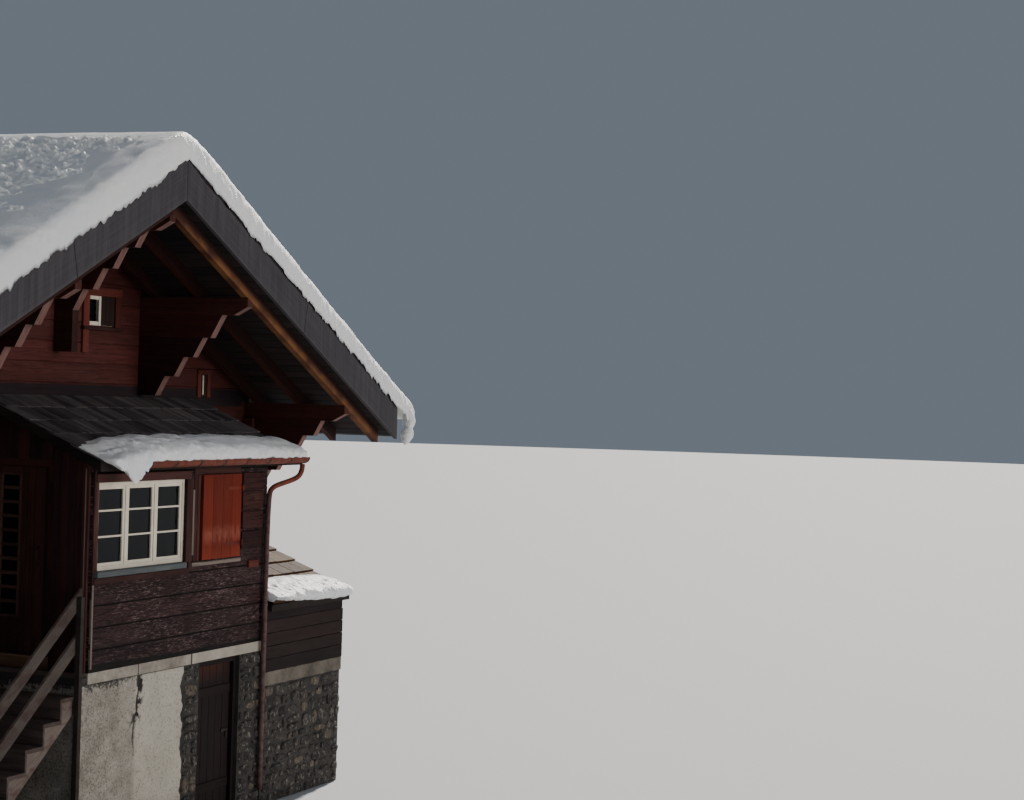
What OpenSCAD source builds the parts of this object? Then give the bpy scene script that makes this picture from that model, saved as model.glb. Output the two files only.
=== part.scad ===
// Alpine log chalet in winter: squared-log walls on a rubble stone cellar, a wide snow-covered
// gable roof carried by stepped log consoles, a pent-roofed porch room with its cellar door
// below, a low lean-to beside it, and an outside stair up to the entrance.
// Millimetres. +X runs along the gables, +Y into the house, +Z up. The origin is on the ground
// in the middle of the house. Plan values of the front pieces are measured from the ridge (X)
// and outwards from the front gable wall.

/* [House] */
// Width over the side log walls
body_width = 7940; // [7300:10:9500]
// Depth over the two gable log walls
body_depth = 8000; // [6500:10:12000]
// Height of the stone cellar walls
cellar_height = 1880; // [1780:10:2400]
// Thickness of the stone cellar walls
stone_wall = 450; // [380:10:600]
// Thickness of the cellar floor
cellar_floor_t = 100; // [60:5:160]
// Thickness of the two timber floors
floor_t = 120; // [80:5:160]

/* [Logs] */
// Thickness of the wall logs
log_t = 150; // [120:5:180]
// Height of one course of logs
course = 220; // [200:2:240]
// Courses from the cellar wall up to the eave
eave_courses = 12; // [12:1:13]
// Bevel along the edges of each log
log_bevel = 9; // [4:1:14]
// Length of the crossing log ends at the corners
corner_end = 150; // [60:10:220]

/* [Roof] */
// Slope of the main roof in degrees
roof_pitch = 26.7; // [24:0.1:29]
// Reach of the roof past the side walls
eave_overhang = 980; // [500:10:1200]
// Reach of the roof past the gable walls, to the face of the barge boards
gable_overhang = 1580; // [1450:10:1900]
// Width of a rafter
rafter_w = 80; // [60:5:140]
// Depth of a rafter across the slope
rafter_depth = 150; // [120:5:180]
// Spacing wanted between rafters
rafter_spacing = 600; // [500:10:900]
// How far the rafters stop short of the eaves
rafter_stop = 180; // [60:10:240]
// Depth of the soffit boards, battens and covering together
covering_depth = 370; // [200:5:400]
// Thickness of the barge boards
barge_t = 40; // [25:1:60]
// How far the barge boards hang below the soffit
barge_drop = 25; // [10:1:60]
// Depth of the snow on the main roof
snow_depth = 260; // [120:10:320]
// How far the snow stands out past the barge boards
snow_lip = 30; // [10:5:60]
// How far the snow stands out past the eaves
snow_eave = 360; // [120:10:420]

/* [Purlins and consoles] */
// Width of the purlins and of the console logs
purlin_w = 105; // [90:5:140]
// Height of the purlins
purlin_h = 170; // [140:5:200]
// Distance of the middle purlins from the ridge
mid_purlin_x = 1590; // [1450:10:1800]
// Reach of the purlins past the gable walls
purlin_reach = 1410; // [1350:10:1440]
// Length of the chamfer under the purlin ends
purlin_chamfer = 170; // [80:10:220]
// Height of the plain face above that chamfer
purlin_nose = 80; // [50:5:110]
// Reach of the topmost console log
console_reach = 1090; // [1000:10:1150]
// How much shorter each console log is than the one above it
console_step = 243; // [220:1:250]
// Slant of a console log end over one course
console_slant = 125; // [60:5:150]
// Number of logs in a console
console_logs = 4; // [3:1:4]

/* [Porch room] */
// Left side of the porch room, from the ridge
porch_left = -1130; // [-1300:10:-1100]
// Right side of the porch room, from the ridge
porch_right = 2220; // [2180:10:2350]
// Depth of the porch room in front of the gable wall
porch_depth = 1330; // [1250:10:1400]
// Thickness of the porch walls
porch_wall = 120; // [90:5:140]
// Height of the porch walls at the front
porch_wall_h = 2060; // [1980:10:2100]
// How far below the eave line the porch walls end at the gable
porch_head_drop = 15; // [5:1:60]
// Thickness of the porch roof
porch_roof_t = 85; // [60:5:100]
// Overhang of the porch roof at the eave
porch_eave = 150; // [100:10:170]
// Overhang of the porch roof on the left
porch_verge_left = 100; // [50:10:200]
// Overhang of the porch roof on the right
porch_verge_right = 530; // [480:10:560]
// Height of the pale sill band under the porch walls
sill_band_h = 110; // [80:5:140]
// Radius of the gutter
gutter_r = 65; // [50:1:75]
// How far the gutter stops short of the left end of the porch roof
gutter_inset = 290; // [100:10:400]
// Radius of the downpipe
pipe_r = 30; // [25:1:35]
// Height of the foot of the downpipe
pipe_foot = 200; // [100:10:400]
// Depth of the snow on the low roofs
low_snow = 125; // [60:5:160]
// Reach of the snow up the porch roof from its eave
low_snow_reach = 500; // [300:10:700]
// Width of the tongue of snow over the gutter
tongue_w = 640; // [500:10:900]
// How far that tongue hangs below the roof
tongue_drop = 210; // [120:5:240]
// Thickness of that tongue
tongue_t = 50; // [30:5:70]

/* [Porch windows] */
// Left edge of the three-light window, from the ridge
window_left = -1060; // [-1070:5:-960]
// Width of the three-light window
window_w = 1600; // [1450:10:1650]
// Height of all the main windows
window_h = 880; // [800:10:900]
// Height of the window sills above the cellar walls
sill_h = 1000; // [950:10:1050]
// Left edge of the shuttered window, from the ridge
side_light_left = 850; // [840:5:900]
// Width of the shuttered window
side_light_w = 710; // [650:10:740]
// Width of the window frame timbers
frame_w = 40; // [30:1:60]
// Depth of the window frames
frame_d = 30; // [25:1:70]
// Depth at which the frames stand behind the wall face
frame_set = 20; // [5:1:40]
// Thickness of the glass
glass_t = 6; // [4:0.5:10]
// How far the shutter overlaps its window at its sides and its head
shutter_lap = 35; // [10:1:40]
// Thickness of the shutter
shutter_t = 35; // [22:1:40]

/* [Doors] */
// Left edge of the cellar doorway, from the ridge
cellar_door_left = 900; // [800:10:950]
// Width of the cellar doorway in the stone
cellar_door_w = 830; // [750:10:860]
// Width of the doorway of the entrance
entrance_w = 850; // [780:10:900]
// Height of the entrance doorway above the floor
entrance_h = 1960; // [1850:10:2000]
// Width of the door jambs
jamb_w = 55; // [45:1:70]
// Depth of the door frames
jamb_d = 100; // [80:1:110]
// Height of the rails at the head of the door frames
head_h = 65; // [50:1:80]
// Thickness of the doors
leaf_t = 45; // [35:1:55]
// Running gap round the doors
door_gap = 5; // [5:0.5:8]
// Width of the glazed strip in the entrance door
strip_w = 250; // [150:5:270]
// Distance of that strip from the hinge side of the door
strip_inset = 108; // [80:2:220]
// Height of that strip
strip_h = 1430; // [1000:10:1440]
// Height of the foot of that strip above the floor
strip_foot = 380; // [300:10:420]

/* [Hinges] */
// Height of the door hinges from the foot and the head of their doors
hinge_inset = 220; // [150:10:300]
// Height of the shutter hinges from its foot and its head
shutter_inset = 130; // [90:10:180]
// Radius of the hinge pins
pin_r = 8; // [6:0.5:10]
// Running clearance of the knuckles on their pins, and on their seats
pin_clear = 0.3; // [0.2:0.1:0.6]
// Wall of the knuckles
knuckle_wall = 5.5; // [4:0.5:6]
// Height of the knuckles
knuckle_h = 50; // [35:1:70]
// Thickness of the hinge straps
strap_t = 6; // [4:0.5:8]
// Height of the hinge straps
strap_h = 36; // [25:1:50]
// Length of the hinge straps
strap_l = 300; // [150:10:400]

/* [Lean-to] */
// Height of the stone walls of the lean-to
lean_stone_h = 1510; // [1400:10:1600]
// Thickness of the stone walls of the lean-to
lean_stone_t = 300; // [250:10:360]
// Thickness of the board walls of the lean-to
lean_wall_t = 80; // [60:5:100]
// Height of the board wall at the front
lean_wall_h = 740; // [650:10:800]
// How far the lean-to stands in front of the porch
lean_proud = 15; // [5:5:40]
// Thickness of its shingle roof
lean_roof_t = 70; // [50:5:80]
// Overhang of its roof at the eave
lean_eave = 95; // [80:5:110]
// Overhang of its roof on the right
lean_verge = 30; // [20:5:60]
// Width of the passage from the cellar into the lean-to
lean_passage_w = 750; // [650:10:800]

/* [Attic windows] */
// Distance of the larger attic windows from the ridge
attic_window_x = 790; // [740:10:850]
// Width of the larger attic windows
attic_window_w = 550; // [450:10:600]
// Height of the larger attic windows
attic_window_h = 335; // [280:5:360]
// Sill of the larger attic windows above the eave line
attic_sill = 855; // [820:5:900]
// Distance of the small attic lights from the ridge
attic_light_x = 2910; // [2700:10:3000]
// Width of the small attic lights
attic_light_w = 180; // [140:5:240]
// Height of the small attic lights
attic_light_h = 270; // [200:5:300]
// Sill of the small attic lights above the eave line
attic_light_sill = 110; // [90:5:130]

/* [Other windows] */
// Width of the two-light windows in the side and rear walls
house_window_w = 1060; // [900:10:1200]
// Distance of those windows from the middle of their wall
house_window_x = 1900; // [1500:10:2200]

/* [Stair] */
// Number of risers of the outside stair
risers = 9; // [8:1:11]
// Going of one step
going = 265; // [230:5:290]
// Width of the stair
stair_w = 1130; // [900:10:1150]
// Distance of the stair from the gable wall
stair_gap = 160; // [155:5:170]
// Thickness of the treads
tread_t = 40; // [30:1:60]
// Thickness of the boards that close the risers
riser_t = 25; // [18:1:35]
// Width of the plinth that carries the head of the stair
plinth_w = 110; // [80:5:160]
// Thickness of the strings
string_t = 50; // [40:1:70]
// How far the treads stand out past the strings
tread_reach = 20; // [10:1:40]
// Depth of the strings across the slope
string_depth = 280; // [270:10:340]
// Height of the handrail above the nosings
rail_h = 820; // [750:10:1000]
// Depth of the two rail boards
rail_board = 130; // [90:5:160]
// Thickness of the rail boards
rail_t = 30; // [20:1:40]
// Side of the railing posts
post_s = 55; // [45:1:90]

/* [Hidden] */
$fn = 48;

// A cut runs this far past a face
over = 20;
// Sloping pieces are laid on each other with this gap
seat = 0.3;

half_w = body_width / 2;
front_y = -body_depth / 2;
back_y = body_depth / 2;
slope = tan(roof_pitch);
eave_z = cellar_height + eave_courses * course;
ridge_z = eave_z + slope * half_w;
eave_x = half_w + eave_overhang;
rafter_rise = rafter_depth / cos(roof_pitch);
covering_rise = covering_depth / cos(roof_pitch);
snow_rise = snow_depth / cos(roof_pitch);
deck_top = rafter_rise + covering_rise;
barge_low = rafter_rise - barge_drop / cos(roof_pitch);
floor_z = cellar_height + floor_t;

porch_front = front_y - porch_depth;
porch_top_z = cellar_height + porch_wall_h;
porch_slope = (eave_z - porch_head_drop - porch_top_z) / porch_depth;
porch_pitch = atan(porch_slope);
porch_roof_rise = porch_roof_t / cos(porch_pitch);
porch_eave_y = porch_front - porch_eave;
band_z = cellar_height - sill_band_h;
door_right = cellar_door_left + cellar_door_w;

lean_left = porch_right;
lean_right = half_w + lean_wall_t;
lean_front = porch_front - lean_proud;
lean_top_z = lean_stone_h + lean_wall_h;
lean_roof_rise = lean_roof_t / cos(porch_pitch);
passage_left = porch_right + lean_stone_t + over;

knuckle_r = pin_r + pin_clear + knuckle_wall;
hinge_out = knuckle_r + 2;
hinge_side = door_gap / 2;
shutter_gap = 8;

riser = cellar_height / risers;
stair_slope = riser / going;
stair_angle = atan(stair_slope);
stair_back = front_y - stair_gap;
stair_front = stair_back - stair_w;
stair_top = porch_left - plinth_w;

rafter_reach = purlin_reach - rafter_w / 2 - 5;
rafter_bays = round((body_depth + 2 * rafter_reach) / rafter_spacing);
rafter_pitch = (body_depth + 2 * rafter_reach) / rafter_bays;

// Height of the underside of the rafters at a distance x from the ridge
function rafter_z(x) = ridge_z - slope * abs(x);

// Middle and underside of the eave purlins, and the boards that stand on them
eave_purlin_x = half_w - purlin_w / 2;
plate_z = rafter_z(eave_purlin_x) - purlin_h;
eave_board_t = 25;

// Height of the underside of the porch roof at a distance out from the gable wall
function porch_z(out) = porch_top_z + porch_slope * (porch_depth - out);

// Height of the underside of the lean-to roof at a distance out from the gable wall
function lean_z(out) = lean_top_z + porch_slope * (porch_depth + lean_proud - out);

// Sets an outline of X and Z points between two values of Y
module along_y(y0, y1)
    translate([0, y1, 0]) rotate([90, 0, 0]) linear_extrude(y1 - y0) children();

// Sets an outline of Y and Z points between two values of X
module along_x(x0, x1)
    translate([x0, 0, 0]) rotate([90, 0, 90]) linear_extrude(x1 - x0) children();

// A block between two corners
module block(low, high) translate(low) cube(high - low);

// Joints of the gable courses, which start on the cellar wall
function gable_joints(z0, z1) =
    [for (z = [cellar_height + course:course:z1]) if (z > z0 + 2 * log_bevel && z < z1 - 2 * log_bevel) z];

// Joints of the crossing courses, which lie half a course higher
function cross_joints(z0, z1) =
    [for (z = [cellar_height + course / 2:course:z1]) if (z > z0 + 2 * log_bevel && z < z1 - 2 * log_bevel) z];

// Section of a log wall: face a is at a0 with its top at za, face b at b0 with its top at zb
function log_section(a0, b0, z0, za, zb, joints) =
    let (g = log_bevel, n = len(joints))
    concat(
        [[a0, z0]],
        [for (z = joints) each [[a0, z - g], [a0 + g, z], [a0, z + g]]],
        [[a0, za], [b0, zb]],
        [for (i = [0:1:n - 1]) let (z = joints[n - 1 - i]) each [[b0, z + g], [b0 - g, z], [b0, z - g]]],
        [[b0, z0]]);

// Outline of a gable above the eave line, up to the soffit and over the eave purlins
module gable_outline(inner) {
    edge = half_w - eave_board_t;
    polygon([
        [-inner, eave_z], [inner, eave_z], [inner, rafter_z(inner)], [edge, rafter_z(edge)],
        [edge, rafter_z(edge) + rafter_rise], [0, rafter_z(0) + rafter_rise],
        [-edge, rafter_z(edge) + rafter_rise], [-edge, rafter_z(edge)], [-inner, rafter_z(inner)]]);
}

// Section of a purlin, its top cut to the slope of the rafters
module purlin_section(x) {
    low = rafter_z(x) - purlin_h;
    left = x - purlin_w / 2;
    right = x + purlin_w / 2;
    peak = x == 0 ? [[0, rafter_z(0) - seat]] : [];
    polygon(concat([[left, low], [right, low], [right, rafter_z(right) - seat]], peak,
        [[left, rafter_z(left) - seat]]));
}

// A purlin from end to end of the roof, with chamfered ends
module purlin(x) difference() {
    along_y(front_y - purlin_reach, back_y + purlin_reach) purlin_section(x);
    foot = rafter_z(x) - purlin_h;
    cut_z = rafter_z(x) - purlin_nose;
    for (side = [-1, 1])
        translate([0, side * (body_depth / 2 + purlin_reach), 0]) scale([1, side, 1])
            along_x(x - purlin_w, x + purlin_w)
                polygon([[over, cut_z], [0, cut_z], [-purlin_chamfer, foot], [-purlin_chamfer, foot - over],
                    [over, foot - over]]);
}

// Levels of the console logs under a purlin: its underside, then the crossing joints below it
function console_levels(x) =
    let (top = rafter_z(x) - purlin_h,
        first = cellar_height + course / 2 + course * floor((top - course / 2 - 10 - cellar_height - course / 2) / course))
    concat([top], [for (i = [0:1:console_logs - 1]) first - i * course]);

// Reach of a console log, at its top or lower down
function log_reach(i, drop) = console_reach - i * console_step - console_slant * drop / course;

// A stepped console outside a gable wall, root being how far out it starts
module console(x, root, tail) {
    levels = console_levels(x);
    steps = [for (i = [0:1:console_logs - 1]) each [
        [-log_reach(i, 0), levels[i]],
        [-log_reach(i, levels[i] - levels[i + 1]), levels[i + 1]]]];
    foot = levels[console_logs] - tail;
    tail_reach = log_reach(console_logs - 1, course);
    end = tail > 0 ? [[-tail_reach, foot]] : [];
    along_x(x - purlin_w / 2, x + purlin_w / 2)
        polygon(concat([[-root, levels[0]]], steps, end, [[-root, foot]]));
}

// The five consoles of the front gable
module consoles() {
    console(0, 0, 2 * course);
    for (side = [-1, 1]) {
        console(side * mid_purlin_x, 0, 0);
        console(side * eave_purlin_x, corner_end, 0);
    }
}

// A window frame in a wall that faces -Y, standing on its lower left corner
module window_frame(w, h, lights) difference() {
    block([0, frame_set, 0], [w, frame_set + frame_d, h]);
    light_w = (w - frame_w * (lights + 1)) / lights;
    for (i = [0:1:lights - 1])
        block([frame_w + i * (light_w + frame_w), 0, frame_w],
            [frame_w + i * (light_w + frame_w) + light_w, frame_set + frame_d + over, h - frame_w]);
}

// The sheet of glass behind such a frame
module window_glass(w, h)
    block([frame_w / 2, frame_set + frame_d, frame_w / 2],
        [w - frame_w / 2, frame_set + frame_d + glass_t, h - frame_w / 2]);

// Places children at the lower left corner of each attic window of one gable
module at_attic_windows() {
    for (side = [-1, 1]) {
        translate([side * attic_window_x - attic_window_w / 2, front_y, eave_z + attic_sill]) children(0);
        translate([side * attic_light_x - attic_light_w / 2, front_y, eave_z + attic_light_sill]) children(1);
    }
}

// Places children at the lower left corner of each window of the rear gable
module at_back_windows()
    for (side = [-1, 1])
        rotate(180) translate([side * house_window_x - house_window_w / 2, front_y, cellar_height + sill_h]) children();

// Places children at the lower left corner of each window of a side wall, left or right
module at_side_windows(turn)
    for (side = [-1, 1])
        rotate(turn) translate([side * house_window_x - house_window_w / 2, -half_w, cellar_height + sill_h]) children();

// The hole of a main window
module window_hole(w, h) block([0, -over, 0], [w, porch_wall + log_t + over, h]);

// A hinge strap with its knuckle. The pin stands at the origin, the door lies along +x with the
// face that carries the strap hinge_out behind the pin
module strap(z) {
    difference() {
        translate([0, 0, z]) cylinder(r = knuckle_r, h = knuckle_h);
        translate([0, 0, z - over]) cylinder(r = pin_r + pin_clear, h = knuckle_h + 2 * over);
    }
    difference() {
        block([0, -hinge_out, z + (knuckle_h - strap_h) / 2],
            [strap_l, strap_t - hinge_out, z + (knuckle_h + strap_h) / 2]);
        translate([0, 0, z - over]) cylinder(r = knuckle_r - 1, h = knuckle_h + 2 * over);
    }
}

// The pin under a knuckle, on a collar that a plate or an arm carries back to the frame
module pin(z, reach) {
    collar_h = 14;
    top = z - pin_clear;
    translate([0, 0, top - collar_h]) cylinder(r = knuckle_r, h = collar_h);
    translate([0, 0, top - collar_h]) cylinder(r = pin_r, h = collar_h + knuckle_h + 10);
    block([-jamb_w + 10, -reach, top - collar_h - 30], [-hinge_side, strap_t - reach, top]);
    if (reach > hinge_out) block([-2 * strap_t, -reach, top - collar_h], [-hinge_side, 0, top]);
}

// Where the three hinge lines stand, and which way their doors lie
cellar_axis = [cellar_door_left + jamb_w + hinge_side, porch_front + 40 + jamb_d + hinge_out];
entrance_axis = [porch_left + 10 + jamb_d + hinge_out, front_y - jamb_w - hinge_side];
shutter_right = side_light_left + side_light_w + shutter_lap;
shutter_axis = [shutter_right + hinge_side, porch_front - shutter_gap - shutter_t - hinge_out];

cellar_leaf_w = cellar_door_w - 2 * jamb_w - 2 * door_gap;
cellar_leaf_z = cellar_floor_t + door_gap;
cellar_leaf_h = band_z - head_h - door_gap - cellar_leaf_z;
entrance_leaf_w = entrance_w - 2 * jamb_w - 2 * door_gap;
entrance_leaf_z = floor_z + door_gap;
entrance_leaf_h = entrance_h - head_h - 2 * door_gap;
shutter_w = side_light_w + 2 * shutter_lap;
shutter_z = cellar_height + sill_h;
shutter_h = window_h + shutter_lap;

// Heights of the two hinges of a leaf
function hinge_heights(z, h, inset) = [z + inset, z + h - inset - knuckle_h];
cellar_hinges = hinge_heights(cellar_leaf_z, cellar_leaf_h, hinge_inset);
entrance_hinges = hinge_heights(entrance_leaf_z, entrance_leaf_h, hinge_inset);
shutter_hinges = hinge_heights(shutter_z, shutter_h, shutter_inset);

// Cellar and its walls

module cellar_floor() color("dimgray") {
    linear_extrude(cellar_floor_t) union() {
        translate([-(half_w - stone_wall), front_y + stone_wall])
            square([body_width - 2 * stone_wall, body_depth - 2 * stone_wall]);
        translate([porch_left + stone_wall, porch_front + stone_wall])
            square([porch_right - porch_left - 2 * stone_wall, porch_depth + over]);
        translate([cellar_door_left, porch_front]) square([cellar_door_w, stone_wall + over]);
        translate([passage_left, front_y - over]) square([lean_passage_w, stone_wall + 2 * over]);
        translate([lean_left, lean_front + lean_stone_t])
            square([lean_right - lean_stone_t - lean_left, front_y - lean_front - lean_stone_t]);
        translate([porch_left + stone_wall, front_y - over])
            square([porch_right - porch_left - 2 * stone_wall, stone_wall + 2 * over]);
    }
}

module base_wall_front() color("slategray") {
    y1 = front_y + stone_wall;
    block([-(half_w - stone_wall), front_y, 0], [porch_left + stone_wall, y1, cellar_height]);
    block([porch_right - stone_wall, front_y, 0], [passage_left, y1, cellar_height]);
    block([passage_left + lean_passage_w, front_y, 0], [half_w - stone_wall, y1, cellar_height]);
}

module base_wall_sides() color("slategray")
    for (side = [-1, 1])
        translate([side * (half_w - stone_wall / 2) - stone_wall / 2, front_y, 0])
            cube([stone_wall, body_depth, cellar_height]);

module base_wall_back() color("slategray")
    block([-(half_w - stone_wall), back_y - stone_wall, 0], [half_w - stone_wall, back_y, cellar_height]);

module porch_base_front() color("gray") {
    block([stair_top, porch_front, 0], [porch_left, stair_back, cellar_height - tread_t]);
    block([porch_left, porch_front, 0], [cellar_door_left, porch_front + stone_wall, band_z]);
    block([door_right, porch_front, 0], [porch_right, porch_front + stone_wall, band_z]);
}

module porch_base_sides() color("gray") {
    y0 = porch_front + stone_wall;
    block([porch_left, y0, 0], [porch_left + stone_wall, front_y, cellar_height]);
    block([porch_right - stone_wall, y0, 0], [porch_right, front_y, cellar_height]);
}

module porch_sill_band() color("beige")
    block([porch_left, porch_front, band_z], [porch_right, porch_front + stone_wall, cellar_height]);

// Doors and their frames

module cellar_door_frame() color("saddlebrown") {
    y0 = porch_front + 40;
    y1 = y0 + jamb_d;
    block([cellar_door_left, y0, cellar_floor_t], [cellar_door_left + jamb_w, y1, band_z]);
    block([door_right - jamb_w, y0, cellar_floor_t], [door_right, y1, band_z]);
    block([cellar_door_left + jamb_w, y0, band_z - head_h], [door_right - jamb_w, y1, band_z]);
}

// A door leaf in its hinge line's own frame
module leaf(w, h, z, thick) block([hinge_side, -hinge_out - thick, z], [hinge_side + w, -hinge_out, z + h]);

module cellar_door() color("maroon")
    translate(cellar_axis) {
        leaf(cellar_leaf_w, cellar_leaf_h, cellar_leaf_z, leaf_t);
        for (z = cellar_hinges) strap(z);
    }

module entrance_frame() color("saddlebrown") {
    x0 = porch_left + 10;
    x1 = x0 + jamb_d;
    y0 = front_y - entrance_w;
    block([x0, y0, floor_z], [x1, y0 + jamb_w, floor_z + entrance_h]);
    block([x0, front_y - jamb_w, floor_z], [x1, front_y, floor_z + entrance_h]);
    block([x0, y0 + jamb_w, floor_z + entrance_h - head_h], [x1, front_y - jamb_w, floor_z + entrance_h]);
}

strip_x = hinge_side + strip_inset;

module entrance_door() color("maroon")
    translate(entrance_axis) rotate(-90) {
        difference() {
            leaf(entrance_leaf_w, entrance_leaf_h, entrance_leaf_z, leaf_t);
            block([strip_x, -hinge_out - leaf_t - over, floor_z + strip_foot],
                [strip_x + strip_w, -hinge_out + over, floor_z + strip_foot + strip_h]);
        }
        for (z = entrance_hinges) strap(z);
    }

module entrance_door_glass() color("lightblue")
    translate(entrance_axis) rotate(-90)
        block([strip_x, -hinge_out - (leaf_t + glass_t) / 2, floor_z + strip_foot],
            [strip_x + strip_w, -hinge_out - (leaf_t - glass_t) / 2, floor_z + strip_foot + strip_h]);

module shutter() color("firebrick")
    translate(shutter_axis) rotate(180) {
        leaf(shutter_w, shutter_h, shutter_z, shutter_t);
        for (z = shutter_hinges) strap(z);
    }

module hinge_pins() color("black") {
    translate(cellar_axis) for (z = cellar_hinges) pin(z, hinge_out);
    translate(entrance_axis) rotate(-90) for (z = entrance_hinges) pin(z, hinge_out);
    translate(shutter_axis) rotate(180) for (z = shutter_hinges) pin(z, hinge_out + shutter_t + shutter_gap);
}

// Lean-to beside the porch

module lean_to_base() color("gray") {
    x1 = lean_right - lean_stone_t;
    block([lean_left, lean_front, 0], [lean_right, lean_front + lean_stone_t, lean_stone_h]);
    block([x1, lean_front + lean_stone_t, 0], [lean_right, front_y, lean_stone_h]);
}

module lean_to_walls() color("saddlebrown") {
    y1 = lean_front + lean_wall_t;
    out = front_y - y1;
    along_x(lean_left, lean_right) polygon([
        [lean_front, lean_stone_h], [lean_front, lean_top_z], [y1, lean_z(out)], [y1, lean_stone_h]]);
    along_x(lean_right - lean_wall_t, lean_right) polygon([
        [y1, lean_stone_h], [y1, lean_z(out)], [front_y, lean_z(0)], [front_y, lean_stone_h]]);
}

module lean_to_roof() color("peru") translate([0, 0, seat]) difference() {
    y0 = lean_front - lean_eave;
    out = front_y - y0;
    along_x(lean_left, lean_right + lean_verge) polygon([
        [y0, lean_z(out)], [y0, lean_z(out) + lean_roof_rise],
        [front_y, lean_z(0) + lean_roof_rise], [front_y, lean_z(0)]]);
    block([half_w - log_t, front_y - corner_end, 0], [half_w, front_y + over, lean_z(0) * 2]);
}

module lean_to_snow() color("white") {
    y0 = lean_front - lean_eave;
    out = front_y - y0;
    reach = low_snow_reach * 0.8;
    z0 = lean_z(out) + lean_roof_rise + 2 * seat;
    along_x(lean_left, lean_right + lean_verge) polygon([
        [y0, z0], [y0 - 20, z0 + low_snow * 0.35], [y0 - 5, z0 + low_snow * 0.8], [y0 + 60, z0 + low_snow],
        [y0 + reach * 0.7, z0 + low_snow * 0.7 + porch_slope * reach * 0.7],
        [y0 + reach, z0 + porch_slope * reach]]);
}

// Floors

module main_floor() color("tan")
    translate([0, 0, cellar_height]) linear_extrude(floor_t) union() {
        translate([-(half_w - log_t), front_y + log_t]) square([body_width - 2 * log_t, body_depth - 2 * log_t]);
        translate([porch_left + porch_wall, porch_front + porch_wall])
            square([porch_right - porch_left - 2 * porch_wall, porch_depth - porch_wall + log_t + over]);
        translate([porch_left, front_y - entrance_w]) square([porch_wall + over, entrance_w]);
    }

module attic_floor() color("tan")
    block([-(half_w - log_t), front_y + log_t, eave_z - floor_t], [half_w - log_t, back_y - log_t, eave_z]);

// Log walls

// A stack of gable logs between two values of X
module gable_stack(x0, x1, z0, z1)
    along_x(x0, x1) polygon(log_section(front_y, front_y + log_t, z0, z1, z1, gable_joints(z0, z1)));

// The crossing ends of the gable logs, outside the side walls
module gable_ends() {
    top = cellar_height + (eave_courses - 1) * course;
    for (side = [-1, 1])
        gable_stack(side > 0 ? half_w : -half_w - corner_end, side > 0 ? half_w + corner_end : -half_w,
            cellar_height, top);
}

// Everything of a gable wall above the eave line, seen from the front
module upper_gable() difference() {
    inner = half_w - log_t;
    intersection() {
        gable_stack(-half_w, half_w, eave_z, ridge_z + rafter_rise + over);
        along_y(front_y - over, front_y + log_t + over) gable_outline(inner);
    }
    for (x = [0, -mid_purlin_x, mid_purlin_x])
        along_y(front_y - over, front_y + log_t + over) purlin_section(x);
    at_attic_windows() {
        window_hole(attic_window_w, attic_window_h);
        window_hole(attic_light_w, attic_light_h);
    }
}

module gable_wall_front_lower() color("sienna") {
    gable_stack(-(half_w - log_t), porch_left + porch_wall, cellar_height, eave_z);
    gable_stack(porch_right - porch_wall, half_w - log_t, cellar_height, eave_z);
    gable_ends();
}

module gable_wall_front_upper() color("brown") upper_gable();

module gable_wall_back_lower() color("sienna") rotate(180) {
    difference() {
        gable_stack(-(half_w - log_t), half_w - log_t, cellar_height, eave_z);
        rotate(180) at_back_windows() window_hole(house_window_w, window_h);
    }
    gable_ends();
}

module gable_wall_back_upper() color("brown") rotate(180) upper_gable();

module side_wall(turn) difference() {
    rotate(turn) along_x(-body_depth / 2 - corner_end, body_depth / 2 + corner_end)
        polygon(log_section(-half_w, log_t - half_w, cellar_height, plate_z, plate_z,
            cross_joints(cellar_height, plate_z)));
    at_side_windows(turn) window_hole(house_window_w, window_h);
}

module side_wall_left() color("sienna") side_wall(-90);

module side_wall_right() color("sienna") side_wall(90);

// Porch room

module porch_wall_front() color("sienna") difference() {
    y1 = porch_front + porch_wall;
    inner_top = porch_z(porch_depth - porch_wall);
    along_x(porch_left, porch_right)
        polygon(log_section(porch_front, y1, cellar_height, porch_top_z, inner_top,
            gable_joints(cellar_height, porch_top_z)));
    translate([window_left, porch_front, cellar_height + sill_h]) window_hole(window_w, window_h);
    translate([side_light_left, porch_front, cellar_height + sill_h]) window_hole(side_light_w, window_h);
}

// A side wall of the porch from y0 to y1, up to the roof
module porch_side(x0, y0, y1, z0) along_x(x0, x0 + porch_wall) polygon([
    [y0, z0], [y0, porch_z(front_y - y0)], [y1, porch_z(front_y - y1)], [y1, z0]]);

module porch_wall_left() color("sienna")
    porch_side(porch_left, porch_front + porch_wall, front_y - entrance_w, cellar_height);

module porch_wall_right() color("sienna")
    porch_side(porch_right - porch_wall, porch_front + porch_wall, front_y, cellar_height);

module porch_wall_over_door() color("sienna")
    porch_side(porch_left, front_y - entrance_w, front_y, floor_z + entrance_h);

module porch_window_frames() color("ivory") {
    z = cellar_height + sill_h;
    translate([window_left, porch_front, z]) window_frame(window_w, window_h, 3);
    translate([side_light_left, porch_front, z]) window_frame(side_light_w, window_h, 2);
}

module porch_window_glass() color("lightblue") {
    z = cellar_height + sill_h;
    translate([window_left, porch_front, z]) window_glass(window_w, window_h);
    translate([side_light_left, porch_front, z]) window_glass(side_light_w, window_h);
}

module porch_roof() color("dimgray") {
    out = porch_depth + porch_eave;
    translate([0, 0, seat]) along_x(porch_left - porch_verge_left, porch_right + porch_verge_right) polygon([
        [porch_eave_y, porch_z(out)], [porch_eave_y, porch_z(out) + porch_roof_rise],
        [front_y, porch_z(0) + porch_roof_rise], [front_y, porch_z(0)]]);
}

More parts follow.
